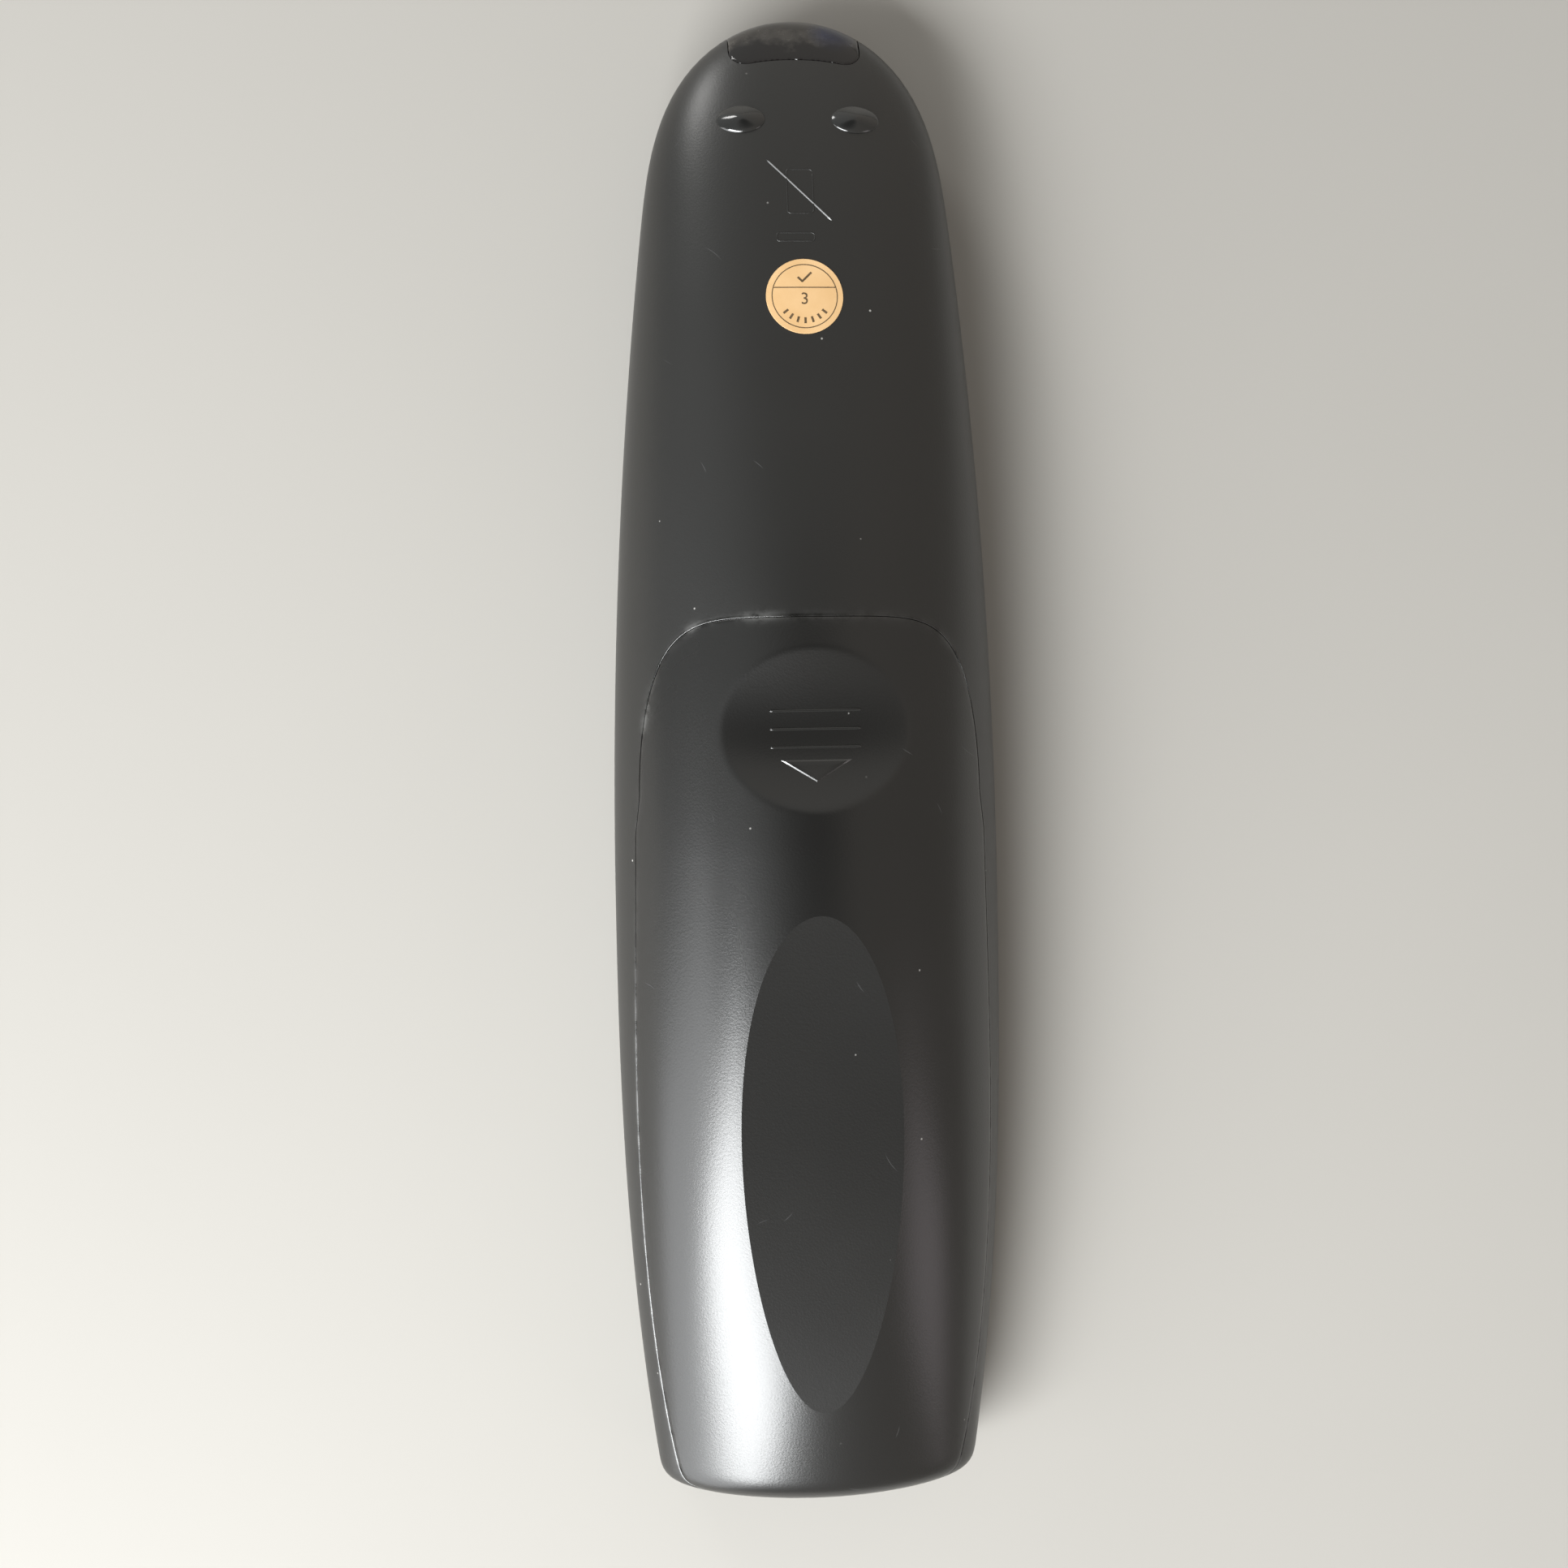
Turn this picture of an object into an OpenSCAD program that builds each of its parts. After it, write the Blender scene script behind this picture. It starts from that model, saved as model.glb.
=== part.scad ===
/* [Body] */
// Length from nose to tail
body_length = 178; // [176:0.5:184]
// Room beside the battery bay for hooks and screws
side_room = 5.4; // [5.2:0.1:6]
// Place of the widest section, as a share of the half length
widest_share = -0.18; // [-0.2:0.01:-0.16]
// Loss of half width from there to the nose
nose_taper = 7.9; // [7.5:0.1:8.2]
// Loss of half width from there to the tail
tail_taper = 4.7; // [4.5:0.1:5]
// Length over which the nose rounds off in plan
nose_reach = 27; // [25:1:30]
// Length over which the tail rounds off in plan
tail_reach = 7; // [6.5:0.5:8]
// Height of the joint between the case halves
joint_z = 9; // [9:0.1:9.3]
// Room above the cells up to the crest of the back
crest_room = 5.2; // [5:0.1:5.6]
// Place of the crest, as a share of the half length
crest_share = -0.135; // [-0.15:0.005:-0.12]
// Fall of the crest line to the nose
nose_drop = 11.7; // [11:0.1:12]
// Fall of the crest line to the tail
tail_drop = 9.5; // [9:0.1:10]
// Wall thickness of the case
wall = 1.8; // [1.6:0.1:1.9]
// Radius of the front edge
edge_radius = 3; // [2.5:0.1:3.2]

/* [Battery cover] */
// Distance that the cover reaches past the battery bay toward the nose
cover_reach = 9.7; // [9.5:0.1:10]
// Fall from the crest to the cover's seam
seam_drop = 10.4; // [10.2:0.1:10.6]
// Distance of the seam in from the widest place
seam_inset = 2.9; // [2.8:0.1:3]
// Fall of the seam toward the tail, in degrees
seam_slope = 1.5; // [1.4:0.1:1.6]
// Gap all round the cover
seam_gap = 0.2; // [0.15:0.01:0.25]
// Wall thickness of the cover
cover_wall = 1.4; // [1.3:0.1:1.5]
// Distance of the thumb dish's centre from the cover's edge
dish_back = 13; // [12.8:0.1:13.4]
// Half width of the thumb dish
dish_half_width = 11; // [10:0.1:11.2]
// Half length of the thumb dish
dish_half_length = 9.3; // [8.5:0.1:9.5]
// Depth of the thumb dish
dish_depth = 2; // [1.6:0.1:2]
// Length of a grip rib
rib_length = 10.6; // [9:0.1:11]
// Distance between grip ribs
rib_pitch = 2.1; // [2:0.05:2.2]
// Width of the triangle that shows the way off
triangle_width = 8; // [7.5:0.1:8.2]
// Distance of the flat facet from the cover's edge
facet_back = 35.5; // [35:0.1:36]
// Distance of the flat facet from the tail
facet_tail = 12.2; // [12:0.1:13]

/* [Nose] */
// Depth of the infrared window from the tip
window_depth = 6.2; // [6:0.1:6.6]
// Half width of the infrared window
window_half_width = 7.9; // [7.5:0.1:8]
// Gap round the infrared window
window_gap = 0.12; // [0.1:0.01:0.2]
// Distance of each nub from the centre line
nub_x = 6.8; // [6.5:0.1:7]
// Distance of the nubs from the tip
nub_back = 14.1; // [13.5:0.1:14.5]
// Distance of the inspection label from the tip
label_back = 36; // [35:0.1:37]
// Diameter of the inspection label
label_d = 9; // [8.5:0.1:9.5]

/* [Keys] */
// Depth of the key panel below the rim
panel_depth = 1.2; // [1.2:0.05:1.25]
// Thickness of the key panel
panel_wall = 1.2; // [1.15:0.05:1.2]
// Distance of the keys' faces above the table
key_lift = 0.3; // [0.25:0.05:0.4]
// Travel of a key
key_travel = 0.4; // [0.3:0.05:0.4]
// Gap round a key in the panel
key_gap = 0.3; // [0.25:0.05:0.35]
// Space between key columns
key_space = 2.2; // [2.1:0.1:2.4]
// Height of an ordinary key
key_height = 6.2; // [5.8:0.1:6.4]
// Diameter of the two round keys
round_key = 8; // [7.6:0.1:8.2]
// Outer radius of the arrow keys
arrows_radius = 13.5; // [13:0.1:13.6]
// Length of a rocker
rocker_length = 19; // [18.5:0.1:19.2]

/* [Power] */
// Diameter of a cell
cell_d = 14.5; // [14.2:0.1:14.5]
// Length of a cell with its tip
cell_length = 50.5; // [50:0.1:50.5]
// Gap between the two cells
cell_gap = 0.7; // [0.5:0.1:0.9]
// End of the battery bay toward the nose
bay_top_y = 6; // [5.5:0.1:6.2]
// Wire diameter of the contact springs
wire_d = 0.8; // [0.7:0.05:0.8]
// Turns of a contact spring
spring_turns = 3; // [2.5:0.5:3]

/* [Hidden] */
$fn = 48;
half_length = body_length / 2;
arch_steps = 28;
fit = 0.1;
lap = 0.2;

// Layers from the key panel up to the cells
panel_z = panel_depth + panel_wall;
mat_z = panel_z + fit;
mat_t = 1.5;
mat_gap = 0.5;
board_z = mat_z + mat_t;
board_t = 1;
board_top = board_z + board_t;
bay_floor_z = board_top + 0.3;
bay_floor_t = 0.9;
bay_z = bay_floor_z + bay_floor_t;
cell_z = bay_z + fit + cell_d / 2;
pad_t = 0.06;
pad_d = 2.8;
flange_z = panel_z + fit;
flange_t = 0.6;
flange = 0.6;
flange_gap = 0.25;
plunger_inset = 0.6;
plunger_z = board_z - pad_t - key_travel - 0.04;
rim = edge_radius + 1.2;

// Battery bay
deck_t = 1.2;
deck_reach = 6;
bay_wall = 1;
cell_x = (cell_d + cell_gap) / 2;
bay_half_width = cell_x + cell_d / 2 + 0.25;
bay_side = bay_half_width + bay_wall;
plate_t = 0.4;
plate_w = 11;
plate_h = 10;
leg_w = 2.4;
leg_gap = 0.3;
tip_t = 0.6;
tip_d = 6;
spring_length = 5.5;
bay_length = 2 * plate_t + tip_t + cell_length + spring_length;
bay_end_y = bay_top_y - bay_length;
bay_mid_y = (bay_top_y + bay_end_y) / 2;

// Outer form
half_width_max = bay_side + side_room + wall;
crest_z = cell_z + cell_d / 2 + crest_room;
widest_y = widest_share * half_length;
crest_y = crest_share * half_length;
crest_nose_reach = 34;
crest_tail_reach = 5;
crown_power = 2;
nose_crown_power = 2.8;
crown_start_y = 10;
crown_reach = 50;
flank_power = 1.9;
flank_dip = 0.4;
flank_reach = 45;
tail_angles = [88, 76, 64, 52, 40, 26, 12];
nose_angles = [10, 20, 30, 40, 50, 60, 70, 80, 88];
mid_start = tail_reach - half_length;
mid_end = half_length - nose_reach;

// Cover and what holds it
cover_top_y = bay_top_y + cover_reach;
seam_z = crest_z - seam_drop;
corner_depth = 24;
flare_y = -60;
flare = 2.7;
dish_y = cover_top_y - dish_back;
dish_power = 1.4;
rib_d = 0.9;
facet_top_y = cover_top_y - facet_back;
facet_end_y = facet_tail - half_length;
rail_z = seam_z - 0.6;
rail_t = 1;
rail_reach = 0.8;
hook_t = 0.8;
hook_h = 1;
hook_length = 6;
hook_gap = 0.3;
hook_places = [bay_top_y - 1.5 * hook_length, bay_end_y + 2 * hook_length];
tongue_width = 6;
tongue_t = 0.8;
tongue_reach = 2;
tongue_root = 4;

// Nose
window_y = half_length - window_depth;
window_z = 3.5;
nub_y = half_length - nub_back;
label_y = half_length - label_back;
label_t = 0.12;

// Screws
screw_d = 2.2;
head_d = 3.8;
head_h = 1.6;
post_r = 2;
post_gap = 0.25;
case_screw_x = bay_side + head_d / 2 + post_gap;
tail_screw_x = 8;
tail_screw_y = 6.5 - half_length;
board_screw_y = 0.7 * half_length;
board_screw_x = half_width(board_screw_y, wall) - post_r - 0.7;
case_screw_spots = [[case_screw_x, bay_mid_y], [-case_screw_x, bay_mid_y],
    [tail_screw_x, tail_screw_y], [-tail_screw_x, tail_screw_y]];
board_screw_spots = [[board_screw_x, board_screw_y], [-board_screw_x, board_screw_y]];

// Rows of keys along the length, and columns across
power_y = 0.765 * half_length;
digit_rows = half_length * [0.62, 0.5, 0.38, 0.26];
rocker_y = 0.055 * half_length;
mute_y = 0.11 * half_length;
menu_y = -0.005 * half_length;
arrows_y = -0.28 * half_length;
home_y = -0.515 * half_length;
colour_y = -0.63 * half_length;
play_y = -0.73 * half_length;
stop_y = -0.84 * half_length;
panel_edge = rim + key_gap + fit;
column = (half_width(digit_rows[0], panel_edge) + key_space / 2) / 1.5;
key_width = column - key_space;
power_x = half_width(power_y, panel_edge) - round_key / 2 - 0.6;
key_r = 1.6;
ok_key = 11;
colour_key = [6, 3.6];
colour_column = column * 0.76;

// Keys: name, x, y, width, height, corner radius, colour
keys = [
    ["power_key", power_x, power_y, round_key, round_key, round_key / 2, "firebrick"],
    ["input_key", -power_x, power_y, round_key, round_key, round_key / 2, "dimgray"],
    for (i = [0:8])
        [str("digit_", i + 1, "_key"), column * (1 - i % 3), digit_rows[floor(i / 3)],
            key_width, key_height, key_r, "dimgray"],
    ["list_key", column, digit_rows[3], key_width, key_height, key_r, "dimgray"],
    ["digit_0_key", 0, digit_rows[3], key_width, key_height, key_r, "dimgray"],
    ["recall_key", -column, digit_rows[3], key_width, key_height, key_r, "dimgray"],
    ["mute_key", 0, mute_y, key_width, key_height, key_r, "dimgray"],
    ["menu_key", 0, menu_y, key_width, key_height, key_r, "dimgray"],
    ["ok_key", 0, arrows_y, ok_key, ok_key, ok_key / 2, "dimgray"],
    ["back_key", column, home_y, key_width, key_height, key_r, "dimgray"],
    ["home_key", 0, home_y, key_width, key_height, key_r, "dimgray"],
    ["exit_key", -column, home_y, key_width, key_height, key_r, "dimgray"],
    ["red_key", 1.5 * colour_column, colour_y, colour_key.x, colour_key.y, key_r, "firebrick"],
    ["green_key", 0.5 * colour_column, colour_y, colour_key.x, colour_key.y, key_r, "seagreen"],
    ["yellow_key", -0.5 * colour_column, colour_y, colour_key.x, colour_key.y, key_r, "goldenrod"],
    ["blue_key", -1.5 * colour_column, colour_y, colour_key.x, colour_key.y, key_r, "royalblue"],
    ["rewind_key", column, play_y, key_width, key_height, key_r, "dimgray"],
    ["play_key", 0, play_y, key_width, key_height, key_r, "dimgray"],
    ["forward_key", -column, play_y, key_width, key_height, key_r, "dimgray"],
    ["stop_key", column, stop_y, key_width, key_height, key_r, "dimgray"],
    ["pause_key", 0, stop_y, key_width, key_height, key_r, "dimgray"],
    ["record_key", -column, stop_y, key_width, key_height, key_r, "dimgray"]
];

// Arrow keys: name and the direction of their middle
arrow_inner = 7;
arrow_half_angle = 39;
arrow_pad_r = (arrow_inner + arrows_radius) / 2;
arrows = [["up_key", 90], ["left_key", 0], ["down_key", -90], ["right_key", 180]];

// Rockers: name and place across
rocker_width = 8.6;
rocker_lift = 0.8;
rocker_tab = 4;
rocker_pad = rocker_length / 2 - 2.5;
rocker_nub_h = 0.35;
rocker_x = half_width(rocker_y, rim) - rocker_width / 2 - 2;
rockers = [["volume_rocker", rocker_x], ["channel_rocker", -rocker_x]];

// Ends of the mat and the board along the length
mat_margin = flange + flange_gap + 0.6;
mat_end_y = stop_y - key_height / 2 - mat_margin;
mat_top_y = power_y + round_key / 2 + mat_margin;
board_end_y = mat_end_y - 0.3;
board_top_y = half_length - 11.5;

// Rounding from 1 down to 0 as t goes from 0 to 1
function cap(t, p, q) = t <= 0 ? 1 : t >= 1 ? 0 : pow(1 - pow(t, p), 1 / q);
function signed_pow(v, p) = sign(v) * pow(abs(v), p);
function nose_part(y, reach, d) = (y - half_length + reach) / (reach - d);
function tail_part(y, reach, d) = (reach - half_length - y) / (reach - d);

// Half width of the plan outline at y, drawn in by d
function side_line(y) = y > widest_y
    ? half_width_max - nose_taper * pow((y - widest_y) / (half_length - widest_y), 2)
    : half_width_max - tail_taper * pow((widest_y - y) / (half_length + widest_y), 2.6);
function half_width(y, d) = (side_line(y) - d)
    * cap(nose_part(y, nose_reach, d), 3.5, 2) * cap(tail_part(y, tail_reach, d), 7, 2);

// Rise of the back above the case joint at y, drawn in by d
function crest_line(y) = y > crest_y
    ? crest_z - nose_drop * pow((y - crest_y) / (half_length - crest_y), 1.6)
    : crest_z - tail_drop * pow((crest_y - y) / (half_length + crest_y), 2.4);
function rise(y, d) = (crest_line(y) - joint_z - d)
    * cap(nose_part(y, crest_nose_reach, d), 4, 2) * cap(tail_part(y, crest_tail_reach, d), 5, 3);

// Powers of the cross section: a flatter crown toward the nose, fuller flanks at the middle
function blend(t) = t <= 0 ? 0 : t >= 1 ? 1 : t * t * (3 - 2 * t);
function crown(y) = crown_power
    + (nose_crown_power - crown_power) * blend((y - crown_start_y) / crown_reach);
function flank(y) = flank_power - flank_dip * exp(-pow((y - widest_y) / flank_reach, 2));

// One cross section of the back, from right to left over the top, and its height at x
function arch(y, d) = [for (i = [0:arch_steps])
    let (a = 180 * i / arch_steps)
    [half_width(y, d) * signed_pow(cos(a), 2 / crown(y)), y,
        joint_z + rise(y, d) * pow(sin(a), 2 / flank(y))]];
function back_z(x, y, d) = joint_z
    + rise(y, d) * pow(1 - pow(x / half_width(y, d), crown(y)), 1 / flank(y));

// Places of the cross sections, closer together at both ends
function evenly(start, stop, count) = [for (i = [0:count]) start + (stop - start) * i / count];
function tail_stations(d) = [for (a = tail_angles) mid_start - (tail_reach - d) * sin(a)];
function nose_stations(d) = [for (a = nose_angles) mid_end + (nose_reach - d) * sin(a)];
function stations(d, count) =
    concat(tail_stations(d), evenly(mid_start, mid_end, count), nose_stations(d));
function cover_stations(d) = let (dish_end = dish_y - dish_half_length - 1)
    concat(tail_stations(d), evenly(mid_start, dish_end - 2, 15), evenly(dish_end, cover_top_y + 4 - d, 15));
function outline(d) = let (s = stations(d, 16)) concat(
    [for (y = s) [half_width(y, d), y]],
    [for (i = [len(s) - 1:-1:0]) [-half_width(s[i], d), s[i]]]);

// The thumb dish and the plane of the facet
function dish(p) = let (u = pow(p.x / dish_half_width, 2) + pow((p.y - dish_y) / dish_half_length, 2))
    u >= 1 ? 0 : dish_depth * pow(1 - u, dish_power);
facet_slope = (crest_line(facet_top_y) - crest_line(facet_end_y)) / (facet_top_y - facet_end_y);
function facet_z(y) = crest_line(facet_top_y) + facet_slope * (y - facet_top_y);
function dished(p) = [p.x, p.y, p.z - dish(p)];
function under_facet(p) = [p.x, p.y, min(p.z, facet_z(p.y) - cover_wall) - dish(p)];

function rounded(w, h, r) = let (c = min(r, w / 2 - 0.05, h / 2 - 0.05))
    [for (q = [0:3], a = [0:15:90])
        [(q == 0 || q == 3 ? 1 : -1) * (w / 2 - c) + c * cos(a + 90 * q),
            (q < 2 ? 1 : -1) * (h / 2 - c) + c * sin(a + 90 * q)]];
function sector(g) = let (r = arrows_radius + g, s = arrow_inner - g)
    concat(
        [for (i = [-10:10]) let (a = i / 10 * (arrow_half_angle + g / r * 57.3)) r * [cos(a), sin(a)]],
        [for (i = [10:-1:-10]) let (a = i / 10 * (arrow_half_angle + g / s * 57.3)) s * [cos(a), sin(a)]]);

// Closed wall between two sets of cross sections that share a flat rim
module skin(outer, inner) {
    n = len(outer) - 1;
    m = len(outer[0]) - 1;
    function o(i, j) = i * (m + 1) + j;
    function p(i, j) = (n + 1 + i) * (m + 1) + j;
    polyhedron(
        points = [for (ring = outer) each ring, for (ring = inner) each ring],
        faces = concat(
            [for (i = [0:n - 1], j = [0:m - 1]) [o(i, j), o(i, j + 1), o(i + 1, j + 1)]],
            [for (i = [0:n - 1], j = [0:m - 1]) [o(i, j), o(i + 1, j + 1), o(i + 1, j)]],
            [for (i = [0:n - 1], j = [0:m - 1]) [p(i, j), p(i + 1, j + 1), p(i, j + 1)]],
            [for (i = [0:n - 1], j = [0:m - 1]) [p(i, j), p(i + 1, j), p(i + 1, j + 1)]],
            [for (i = [0:n - 1]) [o(i, 0), o(i + 1, 0), p(i + 1, 0), p(i, 0)]],
            [for (i = [0:n - 1]) [o(i + 1, m), o(i, m), p(i, m), p(i + 1, m)]],
            [[for (j = [m:-1:0]) o(0, j)], [for (j = [0:m]) o(n, j)]],
            [[for (j = [0:m]) p(0, j)], [for (j = [m:-1:0]) p(n, j)]],
            [[o(0, m), o(0, 0), p(0, 0), p(0, m)], [o(n, 0), o(n, m), p(n, m), p(n, 0)]]),
        convexity = 6);
}

// Closed body between outlines, from the top one down
module stack(rings) {
    n = len(rings) - 1;
    m = len(rings[0]);
    polyhedron(
        points = [for (ring = rings) each ring],
        faces = concat(
            [for (i = [0:n - 1], j = [0:m - 1])
                [i * m + j, i * m + (j + 1) % m, (i + 1) * m + j]],
            [for (i = [0:n - 1], j = [0:m - 1])
                [i * m + (j + 1) % m, (i + 1) * m + (j + 1) % m, (i + 1) * m + j]],
            [[for (j = [m - 1:-1:0]) j], [for (j = [0:m - 1]) n * m + j]]),
        convexity = 6);
}

module slab(z, t) {
    translate([0, 0, z]) linear_extrude(t) children();
}

module along(from_y, to_y) {
    intersection() {
        children();
        translate([-body_length, from_y]) square([2 * body_length, to_y - from_y]);
    }
}

// Space that the battery cover takes, grown by g
module cover_space(g) {
    steps = 14;
    half = half_width_max - seam_inset + g;
    wide = half_width_max + flare;
    edge = [for (i = [0:steps]) let (a = 90 * i / steps)
        [half * pow(sin(a), 2 / 5), corner_depth * (pow(cos(a), 2 / 2.5) - 1) + g]];
    right = concat(edge, [[wide, flare_y], [wide, -body_length]]);
    translate([0, cover_top_y, seam_z - g]) rotate([seam_slope, 0, 0])
        linear_extrude(2 * seam_drop) polygon(concat(right,
            [for (i = [len(right) - 1:-1:1]) [-right[i].x, right[i].y]]));
}

// Space that the infrared window takes, grown by g
module window_space(g) {
    bow = 1;
    corner = 2.2;
    half = window_half_width + g;
    slab(window_z - g, crest_z) polygon(concat(
        [for (a = [-90:10:90]) let (u = signed_pow(sin(a), 0.25))
            [half * u, window_y - g - bow * u * u + corner * (1 - pow(cos(a), 0.67))]],
        [[half, half_length + 5], [-half, half_length + 5]]));
}

module rear_skin() {
    skin([for (y = stations(0, 26)) arch(y, 0)], [for (y = stations(wall, 26)) arch(y, wall)]);
}

// The part of that skin round the nose
module nose_skin() {
    skin([for (y = concat([mid_end], nose_stations(0))) arch(y, 0)],
        [for (y = concat([mid_end + wall], nose_stations(wall))) arch(y, wall)]);
}

module front_body(top) {
    rings = concat(
        [[top, 0]],
        [for (a = [0:15:90]) [edge_radius * (1 - sin(a)), edge_radius * (1 - cos(a))]],
        [[-1, edge_radius]]);
    difference() {
        stack([for (r = rings) [for (p = outline(r[1])) [p.x, p.y, r[0]]]]);
        slab(-2, 2) square(2 * body_length, center = true);
    }
}

module front_cavity(d) {
    slab(panel_z, joint_z) polygon(outline(d));
}

module key_shape(k, g) {
    translate([k[1], k[2]]) polygon(rounded(k[3] + 2 * g, k[4] + 2 * g, k[5] + g));
}

module arrow_shape(a, g) {
    translate([0, arrows_y]) rotate(a[1]) polygon(sector(g));
}

module rocker_shape(r, g) {
    translate([r[1], rocker_y])
        polygon(rounded(rocker_width + 2 * g, rocker_length + 2 * g, rocker_width / 2 + g));
}

module rocker_tabs(r, g) {
    translate([r[1], rocker_y])
        square([rocker_width + 2 * flange + 2 * g, rocker_tab + 2 * g], center = true);
}

module key_holes(z, t, g) {
    for (k = keys) slab(z, t) key_shape(k, g);
    for (a = arrows) slab(z, t) arrow_shape(a, g);
    for (r = rockers) slab(z, t) rocker_shape(r, g);
}

module at(spots, z) {
    for (s = spots) translate([s.x, s.y, z]) children();
}

module posts(spots, top) {
    at(spots, panel_z - lap) cylinder(r = post_r, h = top - panel_z + lap);
}

module front_shell() {
    color("black") difference() {
        union() {
            difference() {
                front_body(joint_z);
                front_cavity(wall);
                slab(-1, 1 + panel_depth) polygon(outline(rim));
                key_holes(0, panel_z + 1, key_gap);
                window_space(window_gap);
            }
            posts(case_screw_spots, joint_z);
            posts(board_screw_spots, board_z);
        }
        at(case_screw_spots, panel_z) cylinder(d = screw_d + fit, h = joint_z);
        at(board_screw_spots, panel_z - 2 * lap) cylinder(d = screw_d + fit, h = joint_z);
    }
}

module nub(x) {
    half = 1.4;
    r = 1.6;
    sink = 0.5;
    translate([x, nub_y, back_z(nub_x, nub_y, 0) - sink]) {
        rotate([0, 90, 0]) cylinder(r = r, h = 2 * half, center = true);
        for (s = [-1, 1]) translate([s * half, 0, 0]) sphere(r = r);
    }
}

module bay() {
    outer_length = bay_length + 2 * bay_wall;
    difference() {
        union() {
            slab(joint_z, deck_t) along(-half_length, bay_top_y + deck_reach)
                polygon(outline(wall - 0.5));
            slab(bay_floor_z, rail_z - bay_floor_z) translate([0, bay_mid_y])
                square([2 * bay_side, outer_length], center = true);
            slab(rail_z, rail_t) along(bay_end_y + hook_length, bay_top_y)
                square([2 * bay_side + 2 * rail_reach, body_length], center = true);
            slab(rail_z, rail_t) translate([0, bay_mid_y])
                square([2 * bay_side, outer_length], center = true);
        }
        slab(bay_z, crest_z) translate([0, bay_mid_y])
            square([2 * bay_half_width, bay_length], center = true);
        at(case_screw_spots, joint_z - 1) cylinder(d = screw_d + leg_gap, h = deck_t + 2);
        for (s = [-1, 1]) leg_slot(s);
    }
}

module leg_slot(side) {
    w = leg_w + 2 * leg_gap;
    translate([side * cell_x - w / 2, bay_top_y - plate_t - lap, bay_floor_z - 1])
        cube([w, plate_t + lap, bay_floor_t + 2]);
}

module rear_shell() {
    color("black") union() {
        difference() {
            rear_skin();
            cover_space(seam_gap);
            window_space(window_gap);
        }
        for (s = [-1, 1]) nub(s * nub_x);
        bay();
    }
}

// Hook that reaches under a rail, from the cover's inner face down
module hook(side, y) {
    root = bay_side + rail_reach + hook_gap;
    toe_z = rail_z - hook_gap - hook_h;
    root_z = back_z(root, y, cover_wall) + cover_wall / 3;
    mirror([side < 0 ? 1 : 0, 0, 0]) translate([root, y - hook_length / 2, toe_z]) {
        cube([hook_t, hook_length, root_z - toe_z]);
        translate([-rail_reach, 0, 0]) cube([rail_reach + hook_t, hook_length, hook_h]);
    }
}

// Tongue that reaches under the back shell's edge
module tongue() {
    z = crest_line(cover_top_y) - wall - 1.5;
    translate([-tongue_width / 2, cover_top_y - tongue_root, z]) {
        cube([tongue_width, tongue_root + tongue_reach, tongue_t]);
        cube([tongue_width, tongue_root - 0.5, 3 * tongue_t]);
    }
}

// Raised outline that points to the tail, set on the slope of the dish
module triangle() {
    height = 0.3 * triangle_width;
    line = 0.5;
    top_y = dish_y - 3.6;
    function floor_z(y) = crest_line(y) - dish([0, y]);
    tilt = atan((floor_z(top_y) - floor_z(top_y - height)) / height);
    translate([0, top_y, floor_z(top_y)]) rotate([tilt, 0, 0]) translate([0, 0, -0.6])
        linear_extrude(0.8) difference() {
            polygon([[-triangle_width / 2, 0], [0, -height], [triangle_width / 2, 0]]);
            polygon([[-triangle_width / 2 + 4 * line, -line], [0, line * 1.4 - height],
                [triangle_width / 2 - 4 * line, -line]]);
        }
}

module battery_cover() {
    ribs_z = crest_line(dish_y) - dish_depth;
    color("black") union() {
        difference() {
            intersection() {
                skin([for (y = cover_stations(0)) [for (p = arch(y, 0)) dished(p)]],
                    [for (y = cover_stations(cover_wall)) [for (p = arch(y, cover_wall)) under_facet(p)]]);
                cover_space(0);
            }
            translate([0, facet_top_y, facet_z(facet_top_y)]) rotate([atan(facet_slope), 0, 0])
                translate([-half_length, -body_length, 0])
                    cube([body_length, body_length + cover_reach, seam_drop]);
        }
        for (i = [-1:1]) translate([0, dish_y + i * rib_pitch, ribs_z + 0.1]) rotate([0, 90, 0])
            cylinder(d = rib_d, h = rib_length, center = true);
        triangle();
        for (s = [-1, 1], y = hook_places) hook(s, y);
        tongue();
    }
}

module ir_window() {
    seam_lap = 0.05;
    color("midnightblue") intersection() {
        union() {
            nose_skin();
            difference() {
                front_body(joint_z + seam_lap);
                front_cavity(wall + seam_lap);
            }
        }
        window_space(0);
    }
}

module inspection_sticker() {
    r = label_d / 2;
    tilt = atan((crest_line(label_y + r) - crest_line(label_y - r)) / label_d);
    color("peachpuff") translate([0, label_y, crest_line(label_y) + label_t / 4]) rotate([tilt, 0, 0])
        cylinder(d = label_d, h = label_t);
}

module keypad_mat() {
    color("gray") difference() {
        slab(mat_z, mat_t) along(mat_end_y, mat_top_y) polygon(outline(wall + 1));
        key_holes(mat_z - 1, mat_t + 2, flange + flange_gap);
        for (r = rockers) slab(mat_z - 1, mat_t + 2) rocker_tabs(r, key_gap);
        at(case_screw_spots, 0) cylinder(r = post_r + mat_gap, h = joint_z);
        at(board_screw_spots, 0) cylinder(r = post_r + mat_gap, h = joint_z);
    }
}

module circuit_board() {
    color("darkgreen") difference() {
        slab(board_z, board_t) along(board_end_y, board_top_y) polygon(outline(wall + 0.4));
        at(case_screw_spots, 0) cylinder(r = post_r + flange_gap, h = joint_z);
        at(board_screw_spots, 0) cylinder(d = screw_d + flange_gap, h = joint_z);
    }
}

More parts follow.
